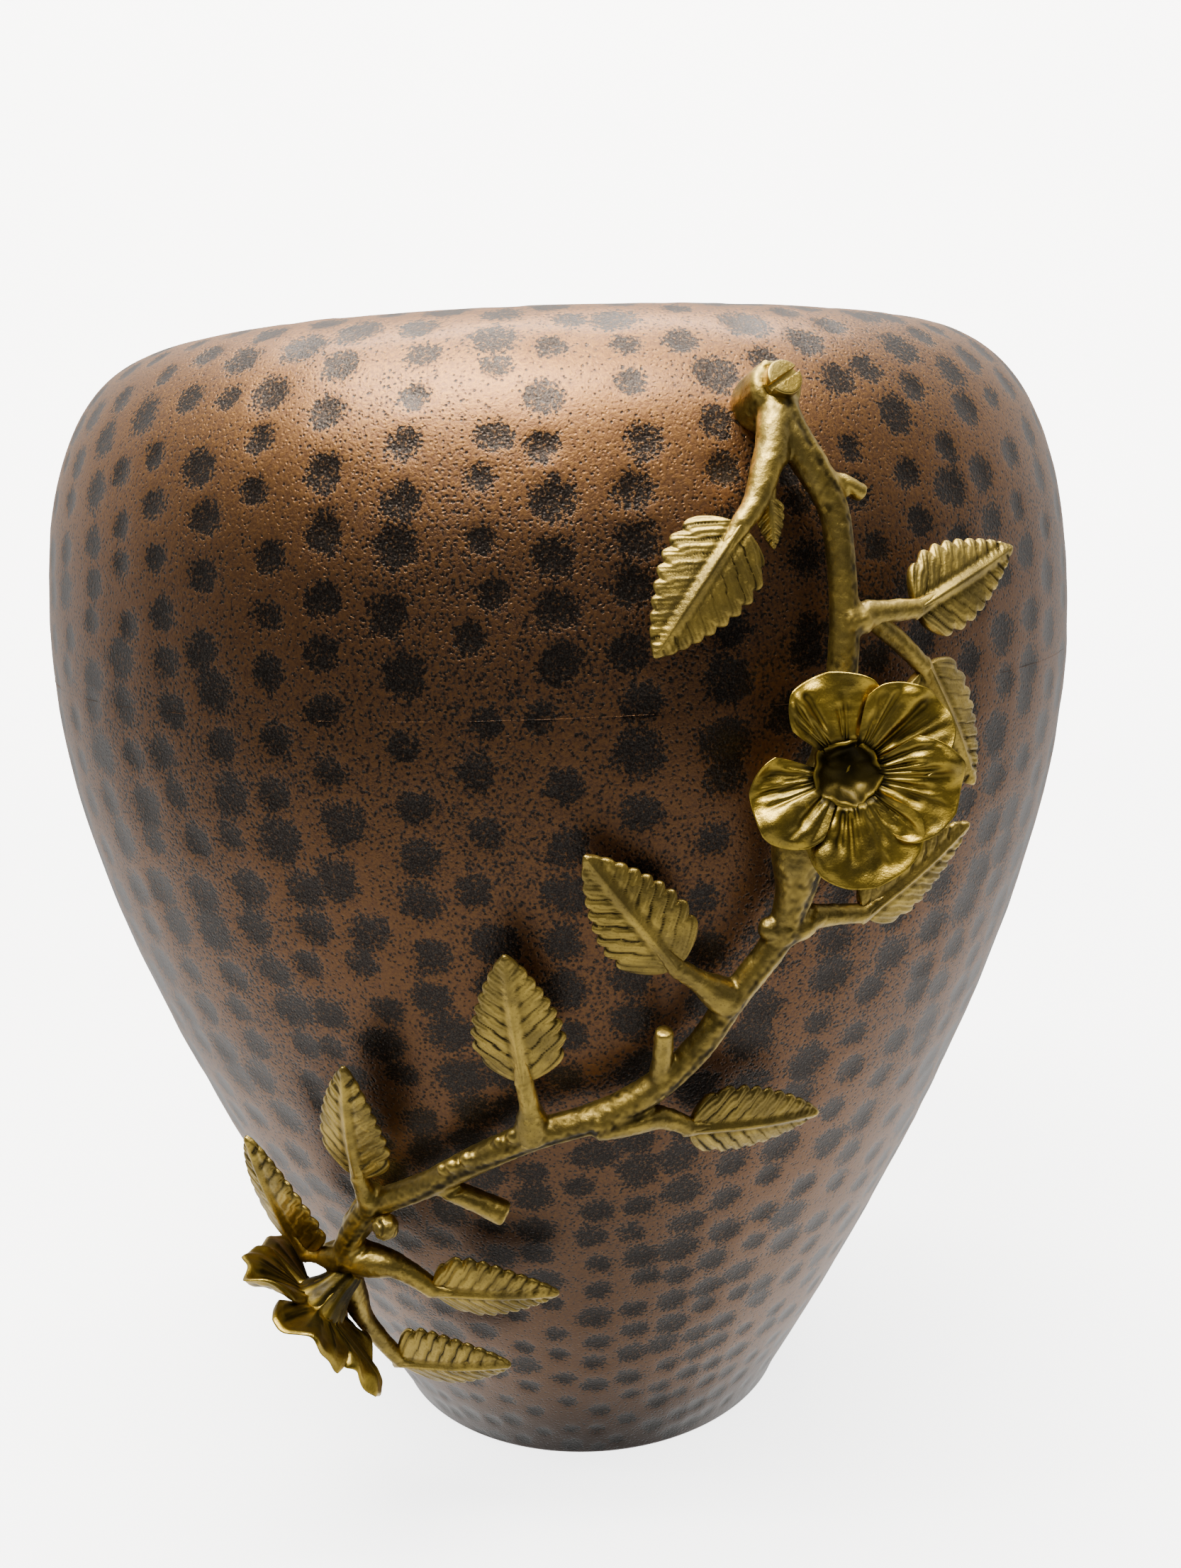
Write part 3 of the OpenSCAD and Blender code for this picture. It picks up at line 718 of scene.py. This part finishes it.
def collar(route, flare):
    """The swelling where a twig leaves the stem, flared at its root and sinking into it."""
    root, middle, end = np.array(route, float)
    flared = []
    for way, swell in ((0, 1.0), (0.6, 0.64), (1.0, 0.17), (1.5, -0.14)):
        row = root + way * (middle - root) if way <= 1 else middle + (way - 1) * (end - middle)
        row[3] *= 1 + (flare - 1) * swell
        flared.append(row)
    return flared


def stem_piece():
    """The cast branch with its boss, stubs, knots and twig roots, welded into one skin."""
    builder = Builder()
    tube(builder, STEM, sides=28)
    for route in (FORK, STUB_RIGHT, STUB_MIDDLE, STUB_LOWER):
        tube(builder, route, blunt=0.25)
    tube(builder, collar(LEAVES[0][0], 1.25))
    for spec in LEAVES[1:2] + LEAVES[3:]:
        tube(builder, collar(spec[0], 1.7))
    for az, h, lift, radius in KNOTS:
        ball(builder, on_wall(az, h, lift), radius)
    wall_lathe(builder, TOP_FIX, [
        [5.2, -0.5], [5.25, 0.4], [5.1, 2.0], [4.9, 4.5],
        [4.7, 6.2], [4.3, 7.1], [3.7, 7.5], [1.0, 7.6]])
    # a nub on the rim of the boss
    side, up, _ = wall_axes(*TOP_FIX[:2])
    ball(builder, on_wall(*TOP_FIX[:2], 7.0) - 1.5 * side + 3.4 * up, 0.9)
    for az, h, root_r, lift in STUD_PADS:
        wall_lathe(builder, [az, h], [[root_r, -0.5], [3.4, 3.0], [3.3, lift]])
    piece = builder.make("vine_stem_cast")
    mesh = fused(piece, 0.34, 5)
    points = per_vertex(mesh, "co") / MM
    centres, side, out, radius = tube_frames(STEM, 10)
    distance, index = nearest_on(points, centres)
    rel = points - centres[index]
    angle = np.degrees(np.arctan2((rel * out[index]).sum(1), (rel * side[index]).sum(1)))
    on_stem = smoothstep(1.5, 1.15, distance / radius[index])
    # the crease between the rounded top and the flatter lower face, wandering along the stem
    wander = 78 + 12 * np.sin(index * 0.11) + 8 * np.sin(index * 0.31 + 1)
    off = (angle - wander) * math.pi / 180 * radius[index]
    crease = np.exp(-(off / 0.85) ** 2) * on_stem * (0.75 + 0.25 * np.sin(index * 0.07 + 2))
    flat = smoothstep(0, 40, wander - angle) * smoothstep(-60, -20, angle) * on_stem
    # The recess value darkens the crease with patina, and the whole rounded top with painted shade, so
    # the flat lower face shows lighter.
    cast_surface(
        mesh, 21, extra=-0.42 * crease - 0.38 * flat,
        recess_and_shade=0.45 * crease + 0.30 * (1 - flat) * on_stem)
    return piece


# -------- leaves

def sheet(builder, top, bottom, top_recess, bottom_recess):
    """A closed sheet from a grid of points above and one below, stitched round its border."""
    m, n = top.shape[:2]
    first = builder.count
    quads = grid_faces(m, n, closed=False)
    builder.add(top, quads, top_recess)
    builder.add(bottom, quads[:, ::-1], bottom_recess)
    border = [(0, j) for j in range(n - 1)] + [(i, n - 1) for i in range(m - 1)]
    border += [(m - 1, j) for j in range(n - 1, 0, -1)] + [(i, 0) for i in range(m - 1, 0, -1)]
    ids = np.array([i * n + j for i, j in border])
    after = np.roll(ids, -1)
    builder.faces.append(np.stack([after, ids, ids + m * n, after + m * n], axis=1) + first)


BLADE_SWAY = 0.035       # how far a blade bows outward, as a share of its length
BLADE_ROWS, BLADE_COLUMNS = 118, 61


def blade(builder, foot, x, y, z, length, half, thick, seed, veins):
    """A cast leaf blade: pleated between its side veins, toothed, with a raised midrib.

    t runs from its foot to its tip and s from one edge to the other.
    """
    rng = np.random.default_rng(seed)
    t = np.linspace(0.003, 0.997, BLADE_ROWS)[:, None]
    s = np.sin(np.linspace(-math.pi / 2, math.pi / 2, BLADE_COLUMNS))[None, :]
    plain_half = np.power(np.sin(math.pi * t ** 0.58), 0.72)
    across_share = np.abs(s) * plain_half
    lag = rng.uniform(-0.2, 0.2)
    side_lag = np.where(s < 0, lag, lag + rng.uniform(0.2, 0.8))
    wobble = 0.05 * np.sin(9 * t + rng.uniform(0, 6))

    def cycle_at(out_by):
        phase = veins * (t - 0.25 * out_by ** 1.2) + side_lag + wobble
        return phase - np.floor(phase)

    cycle = cycle_at(across_share)
    ridge = np.abs(np.sin(math.pi * cycle)) ** 0.42
    tooth = np.abs(np.sin(math.pi * cycle_at(plain_half) ** 1.25)) ** 0.8
    calm_tip = smoothstep(0.0, 0.10, t) * smoothstep(0.0, 0.10, 1 - t)
    width = half * plain_half * (0.90 + 0.13 * tooth * calm_tip + 0.02 * rng.uniform(-1, 1))
    across = s * width
    fold = 0.20 + 0.05 * rng.uniform(-1, 1)
    sway = BLADE_SWAY * length * np.sin(math.pi * t)
    fade = smoothstep(0.06, 0.30, np.abs(s)) * calm_tip * (0.75 + 0.25 * np.sin(7 * t + seed))
    fine = 0.09 * np.sin(math.pi * 5 * cycle + seed) * fade
    pleat = 0.29 * (ridge - 0.72) * fade + fine
    rib = 0.62 * np.exp(-(across / 0.72) ** 2) * (1 - 0.72 * t)
    gutter = 0.26 * np.exp(-((np.abs(across) - 1.45) / 0.5) ** 2) * (1 - 0.5 * t)
    buckle = 0.35 * np.sin(5 * t + seed) * across_share ** 2 * np.sign(s)
    curl = 0.9 * np.clip(np.abs(s) - 0.82, 0, 1) ** 1.2
    lift = sway - fold * np.abs(across) + buckle - curl
    edge_thin = np.sqrt(np.clip(1 - np.abs(s) ** 7, 0, 1))
    body_t = thick * (1 - 0.5 * t) * edge_thin * smoothstep(0, 0.03, 1 - t) + 0.25
    top_z = lift + body_t / 2 + pleat + rib - gutter
    low_z = lift - body_t / 2 + 0.25 * pleat

    def spread(height):
        return foot + x * (length * t)[..., None] + y * across[..., None] + z * height[..., None]

    grooves = np.clip((1 - ridge) * fade * 1.35 + gutter * 2.0, 0, 1.3) + 0 * t * s
    sheet(builder, spread(top_z), spread(low_z), grooves, 0.35 + 0 * grooves)


def mixed(angle, first, second):
    """A direction turned from first towards second by an angle in degrees."""
    return math.cos(math.radians(angle)) * first + math.sin(math.radians(angle)) * second


def leaf_piece(name, spec, seed, veins=8, thick=1.5, weld=0.3):
    """A leaf on its twig. thick is its blade's thickness, weld the twig's voxel size, in mm."""
    route, (heading, lean, roll, length_share, width_share) = spec
    az, h, lift, _ = route[-1]
    side, up, out = wall_axes(az, h)
    foot = on_wall(az, h, float(lift))
    x = mixed(lean, mixed(heading, side, up), out)
    y_level = unit(np.cross(out, x))
    y = mixed(roll, y_level, np.cross(x, y_level))
    z = np.cross(x, y)
    length, half = length_share * LEAF_L, width_share * LEAF_W / 2
    twig = Builder()
    tube(twig, route, sides=18)
    # the twig runs on into the blade as its midrib
    end_r = tube_frames(route)[3][-1]
    w = ring_angles(14)[:, None]
    section = np.cos(w) * y + 0.8 * np.sin(w) * z
    twig.loft([
        foot + x * length * k + z * (BLADE_SWAY * length * math.sin(math.pi * max(k, 0)) + 0.1)
        + section * end_r * (1 - 1.7 * max(k, 0)) for k in np.linspace(-0.06, 0.45, 12)])
    twig_piece = twig.make(name + "_twig")
    cast_surface(fused(twig_piece, weld, 3), seed + 40)
    builder = Builder()
    blade(builder, foot, x, y, z, length, half, thick, seed, veins)
    piece = builder.make(name)
    joined(piece, twig_piece)
    return piece


def joined(first, *others):
    """Joins other objects' meshes into the first."""
    with bpy.context.temp_override(
            active_object=first, selected_editable_objects=[first, *others]):
        bpy.ops.object.join()


# -------- flowers and buds

PETAL_ROWS, PETAL_COLUMNS = 60, 81
PETAL_ROOT = 1.6         # a petal's root from the flower's middle, in mm
PETAL_CREASES = 15
CUP_LIP = 24             # the ring at the top of the cup's lip


def facing(spec):
    """Centre of a flower's base and its axes: x right, y up and z the way it faces."""
    (az, h, lift), (turn, rise), _ = spec
    a, e = math.radians(turn), math.radians(rise)
    z = np.array([math.sin(a) * math.cos(e), -math.cos(a) * math.cos(e), math.sin(e)])
    x = np.array([math.cos(a), math.sin(a), 0.0])
    return on_wall(az, h, float(lift)), x, np.cross(z, x), z


def flower_piece(name, spec, seed, reach, rise, ruffle, droop, jag):
    """Overlapping crumpled petals round a rough cup, on a ribbed calyx.

    reach is a petal's tip from the middle, and rise its slope outside the cup. ruffle and
    droop are how far its border waves and sinks, in mm, and jag how torn the border is.
    """
    rng = np.random.default_rng(seed)
    base, x, y, z = facing(spec)
    builder = Builder()

    def at(r, angle, height):
        level = (r * np.cos(angle))[..., None] * x + (r * np.sin(angle))[..., None] * y
        return base + level + height[..., None] * z

    # q runs from a petal's root to its border and p from one side to the other
    q = np.linspace(0, 1, PETAL_ROWS)[:, None]
    p = np.sin(np.linspace(-math.pi / 2, math.pi / 2, PETAL_COLUMNS))[None, :]
    for k, (middle, share, half) in enumerate(spec[2]):
        torn = np.abs(np.sin(2.3 * p + seed + 1.7 * k)) + 0.5 * np.abs(np.sin(5.1 * p + 2.1 * k))
        far = reach * share * (1 - 0.30 * np.abs(p) ** 2.6 - jag * torn)
        r = PETAL_ROOT + (far - PETAL_ROOT) * q ** 1.06
        width = math.radians(half) * (0.80 + 0.34 * q - 0.16 * q ** 3)
        angle = math.radians(middle) + p * width
        outside = np.clip(r - CUP_R, 0, None)
        deep = smoothstep(1.2, CUP_R + 1.2, r)
        height = CUP_H * (0.25 + 0.75 * deep) + rise * outside
        lean_out = outside / (reach - CUP_R)
        height = height - droop * lean_out ** 2.2 + 0.75 * p * (0.35 + 0.65 * q)
        wave = rng.uniform(0, 6)
        height = height + ruffle * lean_out ** 1.2 * (
            np.sin(3.4 * p + wave) + 0.55 * np.sin(7.1 * p + 2 * wave)
            + 0.25 * np.sin(13 * p + 3 * wave))
        creases = np.zeros_like(height)
        for _ in range(PETAL_CREASES):
            spot, thin = rng.uniform(-0.92, 0.92), rng.uniform(0.03, 0.11)
            start, stop = rng.uniform(0.1, 0.5), rng.uniform(0.6, 1.05)
            bend = rng.uniform(-0.15, 0.15)
            long = smoothstep(start - 0.12, start + 0.1, q) * smoothstep(stop + 0.12, stop - 0.12, q)
            line = np.exp(-((p - spot - bend * (q - 0.5)) / thin) ** 2)
            creases = np.maximum(creases, line * long * rng.uniform(0.35, 1))
        border = np.clip((1 - q) * 7, 0, 1) * np.clip((1 - np.abs(p)) * 5, 0, 1)
        lip = (0.15 + 0.8 * np.sin(2.6 * p + 1.3 * wave)) * np.exp(-((1 - q) / 0.08) ** 2)
        lump = 0.12 * waves(at(r, angle, height), seed + k, 3.2, 12) * border
        body_t = 1.35 * np.sqrt(border) + 0.30
        top = height + lump - 0.85 * creases * border - lip
        bottom = height - body_t - 0.35 * creases * border - lip
        pit = 1 - smoothstep(CUP_R * 0.9, CUP_R * 1.6, r) + 0 * p
        tucked = smoothstep(0.80, 0.97, np.abs(p)) * (1 - 0.7 * q)
        recess_and_shade = 0.95 * creases * border + 0.8 * pit + 0.5 * tucked - 1.2 * lump + 0.1
        sheet(builder, at(r, angle, top), at(r, angle, bottom), np.clip(recess_and_shade, 0, 1.4),
              0.25 + 0.8 * creases * border)
    # the calyx from its root up to the lip, and the cup's inside back down
    w = ring_angles(72)
    ribs = 1 + 0.05 * np.cos(5 * w + 0.6) + 0.03 * np.cos(10 * w)
    rows = [
        [CUP_R * 0.50, -0.6], [CUP_R * 0.58, 0.6], [CUP_R * 0.66, CUP_H * 0.28],
        [CUP_R * 0.82, CUP_H * 0.50], [CUP_R + 0.3, CUP_H * 0.72], [CUP_R + 0.7, CUP_H * 0.86],
        [CUP_R + 0.4, CUP_H * 0.95], [CUP_R - 0.2, CUP_H * 0.93], [CUP_R * 0.80, CUP_H * 0.82],
        [CUP_R * 0.50, CUP_H * 0.73], [CUP_R * 0.2, CUP_H * 0.72], [0.2, CUP_H * 0.72]]
    rings = np.array([
        at(radius * ribs, w, np.full(len(w), float(lift))) for radius, lift in spline(rows, 4)])
    way = np.arange(len(rings))[:, None]
    inside = smoothstep(CUP_LIP, CUP_LIP + 6, way)
    rings = rings + z * (0.32 * inside * waves(rings, seed + 20, 3.4, 14))[..., None]
    values = np.full(rings.shape[:2], 0.8) - 0.3 * np.exp(-((way - CUP_LIP) / 2.5) ** 2)
    builder.loft(rings, values)
    return builder.make(name)


def bud_piece():
    """A round bud whose folded petals twist round its tip."""
    az, h, lift, _ = ROUND_BUD[-1]
    centre = on_wall(az, h, float(lift))
    side, up, out = wall_axes(az, h)
    builder = Builder()
    tube(builder, ROUND_BUD)
    ball(builder, centre, BUD_R, 28, 18)
    piece = builder.make("round_bud_cast")
    mesh = fused(piece, 0.22, 3)
    points = per_vertex(mesh, "co") / MM
    rel = unit(points - centre)
    twist = np.arctan2(rel @ up, rel @ side) + 1.2 * (rel @ out)
    near = smoothstep(BUD_R * 1.3, BUD_R * 0.9, np.linalg.norm(points - centre, axis=1))
    fold = np.clip(np.cos(3 * twist) * 1.6 - 0.8, 0, 1) * smoothstep(-0.2, 0.5, rel @ out) * near
    cast_surface(mesh, 77, 0.12, extra=-0.45 * fold, recess_and_shade=fold)
    return piece


SHANK_R, SHANK_L = 1.75, 13.9
HEAD_BEVEL = 0.28
SLOT_SLANT, SLOT_DEEP = 30, 1.1      # degrees, mm


def screw_piece():
    """A slotted cheese-head screw with softened edges, its slot rising to the right."""
    side, up, out = wall_axes(*TOP_FIX[:2])
    seat = on_wall(*TOP_FIX)
    head, cut = Builder(), Builder()
    skin_r, skin_h, bevel = HEAD_R - CLEARANCE, HEAD_H - CLEARANCE, HEAD_BEVEL - CLEARANCE
    rows = [
        [SHANK_R, -SHANK_L], [SHANK_R, -0.2], [HEAD_R - 0.12, -0.02], [skin_r, 0.1],
        [skin_r, HEAD_H - HEAD_BEVEL]]
    rows += [
        [skin_r - bevel * (1 - math.cos(a)), skin_h - bevel * (1 - math.sin(a))]
        for a in np.radians((22, 45, 67, 90))]
    rows += [[r, skin_h - 0.06 * (1 - r / HEAD_R)] for r in (2.3, 1.6, 0.8, 0.2)]
    turned_shape(head, seat, side, up, out, rows, 96)
    along = mixed(SLOT_SLANT, side, up)
    over = np.cross(out, along)
    bar = np.array([[-1, -1], [1, -1], [1, 1], [-1, 1]]) * [SLOT_W / 2, SLOT_DEEP]
    end = seat + out * HEAD_H + bar[:, :1] * over + bar[:, 1:] * out
    cut.loft([end - 4.0 * along, end + 4.0 * along])
    piece, knife = head.make("slotted_screw"), cut.make("slot_cut")
    slot_cut = piece.modifiers.new("slot", "BOOLEAN")
    slot_cut.operation = "DIFFERENCE"
    slot_cut.solver = "EXACT"
    slot_cut.object = knife
    soften = piece.modifiers.new("edges", "BEVEL")
    soften.width = 0.07 * MM
    soften.segments = 2
    soften.limit_method = "ANGLE"
    soften.angle_limit = math.radians(40)
    evaluated(piece)
    bpy.data.objects.remove(knife)
    return piece


# -------- metals of the vine and fixings

def brass(name, light, deep, polish, rough, coat):
    """Aged brass: dark olive in the recesses and where shade is painted, rubbed bright on what stands
    proud.
    """
    n = Nodes(name)
    sunk_and_shaded = n.attribute("recess_and_shade")
    grain = n.noise(0.45, 3.0, 0.65)
    cloud = n.noise(7.0, 3.0, 0.55)
    edge = n.ramp(n.node("ShaderNodeNewGeometry").outputs["Pointiness"], 0.505, 0.56)
    uneven = n.math("MULTIPLY", n.math("SUBTRACT", cloud, 0.5), 0.9)
    # The attribute holds patina in recesses and painted shade, such as the stem's darker top.
    tarnish_and_shade = n.ramp(n.math("ADD", sunk_and_shaded, uneven), 0.12, 0.95)
    fleck = n.ramp(grain, 0.54, 0.68)
    dirt_and_shade = n.math("MAXIMUM", tarnish_and_shade, n.math("MULTIPLY", fleck, 0.35), clamp=True)
    base = n.mix(n.ramp(cloud, 0.35, 0.68), light, polish)
    colour = n.mix(dirt_and_shade, base, deep)
    colour = n.mix(n.math("MULTIPLY", edge, 0.55), colour, polish)
    roughness = n.math("ADD", n.ramp(dirt_and_shade, 0, 1, rough, rough + 0.16), n.math("MULTIPLY", grain, 0.10))
    height = n.math("ADD", n.math("MULTIPLY", grain, 0.6), n.math("MULTIPLY", n.noise(1.3, 2.0), 0.5))
    return n.finish(colour, roughness, n.bump(height, 0.13, 0.8), 1.0, coat, 0.2)


def bright_steel():
    n = Nodes("steel_plate")
    grain = n.noise(0.3, 3.0)
    cloud = n.noise(5.0, 2.0)
    colour = n.mix(n.ramp(cloud, 0.35, 0.7), rgb(178, 180, 182), rgb(140, 140, 138))
    return n.finish(colour, n.ramp(grain, 0.3, 0.7, 0.28, 0.42), n.bump(grain, 0.03, 0.5), 1.0)


cast_brass = brass(
    "cast_brass", rgb(140, 121, 64), rgb(50, 42, 20), rgb(198, 170, 84), rough=0.34, coat=0.06)
flower_brass = brass(
    "flower_brass", rgb(142, 122, 56), rgb(42, 36, 17), rgb(206, 174, 66), rough=0.29, coat=0.06)
screw_brass = brass(
    "screw_brass", rgb(156, 132, 60), rgb(76, 62, 28), rgb(198, 172, 92), rough=0.28, coat=0.0)
steel = bright_steel()


dress(stem_piece(), cast_brass, "cast_brass", "vine_stem")
for number, leaf_spec in enumerate(LEAVES, 1):
    leaf = leaf_piece(f"toothed_leaf_{number}", leaf_spec, 100 + number)
    dress(leaf, cast_brass, "cast_brass", f"leaf_{number}")
small_leaf = leaf_piece("small_bud_leaf", BUD_LEAF, 140, veins=5, thick=0.9, weld=0.22)
dress(small_leaf, cast_brass, "cast_brass", "bud_leaf")
dress(bud_piece(), cast_brass, "cast_brass", "round_bud")
upper_flower = flower_piece(
    "flower_upper_cast", UPPER_FLOWER, seed=5, reach=19, rise=0.20, ruffle=1.0, droop=1.5, jag=0.035)
lower_flower = flower_piece(
    "flower_lower_cast", LOWER_FLOWER, seed=9, reach=22, rise=0.0, ruffle=1.9, droop=-1.5, jag=0.10)
dress(upper_flower, flower_brass, "flower_brass", "flower_upper")
dress(lower_flower, flower_brass, "flower_brass", "flower_lower")
dress(screw_piece(), screw_brass, "screw_brass", "top_screw")

# The fixings and the wire are shown as the CAD model has them.
hidden_metals = {"rim_wire": screw_brass, "studs": cast_brass, "washers": steel, "nuts": steel}
for node_name, metal in hidden_metals.items():
    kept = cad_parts[node_name]
    kept.data.materials.clear()
    kept.data.materials.append(metal)


# -------- studio and camera

def lathe(name, rows, columns=96):
    """An open skin of revolution round the axis."""
    builder = Builder()
    builder.loft(revolved(rows, np.arange(columns) * 360 / columns), caps=False)
    return builder.make(name)


def pale_material():
    n = Nodes("pale_floor")
    speck = n.noise(400, 2.0)
    colour = n.mix(speck, (0.86, 0.86, 0.86, 1), (0.90, 0.90, 0.895, 1))
    n.feed(n.shader.inputs["Emission Color"], colour)
    n.shader.inputs["Emission Strength"].default_value = 4.2
    return n.finish(colour, n.ramp(speck, 0, 1, 0.85, 0.95), n.bump(speck, 1.0, 0.02), 0.0)


# The floor's radius, where the sweep starts to rise, its radius and its height, in mm
FLOOR_R, SWEEP_START, SWEEP_R, BACKDROP_H = 430, 1500, 1100, 3400


def studio():
    """A pale floor running into a pale sweep, a soft box overhead, and a dim room in front."""
    pale = pale_material()
    floor = lathe("studio_floor", [[0.5, 0], [200, 0], [FLOOR_R, 0]])
    rise = [[FLOOR_R, 0], [900, 0], [SWEEP_START, 0]]
    rise += [
        [SWEEP_START + SWEEP_R * math.sin(a), SWEEP_R - SWEEP_R * math.cos(a)]
        for a in np.radians(np.arange(10, 91, 10))]
    sweep = lathe("studio_sweep", rise + [[SWEEP_START + SWEEP_R, BACKDROP_H]])
    # The metal reflects the world's shades, and the sweep is only a backdrop.
    floor.visible_glossy = False
    sweep.visible_glossy = False
    sweep.visible_diffuse = False
    sweep.visible_shadow = False
    for part in (floor, sweep):
        part.data.materials.append(pale)
    area_light("soft_box", (-330, -420, 1250), (0, 0, 150), 800, 500, 22.0)
    area_light("back_wash", (0, 900, 2300), (0, 2600, 900), 2200, 600, 330.0)
    area_light("far_wash", (0, -900, 2300), (0, -2600, 900), 2200, 600, 220.0)
    world = bpy.data.worlds.new("studio")
    bpy.context.scene.world = world
    world.use_nodes = True
    tree = world.node_tree
    spot = tree.nodes.new("ShaderNodeTexCoord")
    split = tree.nodes.new("ShaderNodeSeparateXYZ")
    tree.links.new(spot.outputs["Generated"], split.inputs[0])

    def combine(operation, a, b):
        made = tree.nodes.new("ShaderNodeMath")
        made.operation = operation
        tree.links.new(a, made.inputs[0])
        tree.links.new(b, made.inputs[1])
        return made.outputs[0]

    # Dim in front, pale to the sides and behind, with a pale ceiling and a pale table,
    # which the vase shades straight below itself.
    around = ramp_node(tree, split.outputs["Y"], -0.62, 0.70, 0.035, 0.88)
    above = ramp_node(tree, split.outputs["Z"], 0.25, 0.95, 0.0, 0.55)
    below = ramp_node(tree, split.outputs["Z"], -0.80, 0.0, 0.92, 0.0)
    shaded = ramp_node(tree, split.outputs["Z"], -1.0, -0.85, 0.10, 1.0)
    table = combine("MULTIPLY", below, shaded)
    all_round = combine("ADD", combine("ADD", around, above), table)
    background = tree.nodes["Background"]
    background.inputs["Color"].default_value = (1.0, 0.985, 0.965, 1)
    tree.links.new(all_round, background.inputs["Strength"])


def area_light(name, place, aim, width, height, watts):
    data = bpy.data.lights.new(name, "AREA")
    data.shape = "RECTANGLE"
    data.size, data.size_y = width * MM, height * MM
    data.energy = watts
    data.color = (1.0, 0.96, 0.90)
    lamp = bpy.data.objects.new(name, data)
    lamp.location = Vector(place) * MM
    lamp.rotation_euler = (Vector(aim) - Vector(place)).to_track_quat("-Z", "Y").to_euler()
    bpy.context.scene.collection.objects.link(lamp)


EYE = (0, -340.7, 221.6)     # mm
LOOK_DOWN = 11.88            # degrees


def camera():
    """The eye, a little below the crest, looks down on the vase from in front."""
    data = bpy.data.cameras.new("camera")
    data.lens = 32.55
    data.sensor_width = 36
    data.clip_start = 0.01
    eye = bpy.data.objects.new("camera", data)
    turn = Matrix.Rotation(math.radians(-0.91), 4, "Z")
    tip = Matrix.Rotation(math.radians(90 - LOOK_DOWN), 4, "X")
    roll = Matrix.Rotation(math.radians(-2.09), 4, "Z")
    eye.matrix_world = Matrix.Translation(Vector(EYE) * MM) @ turn @ tip @ roll
    bpy.context.scene.collection.objects.link(eye)
    bpy.context.scene.camera = eye


studio()
camera()
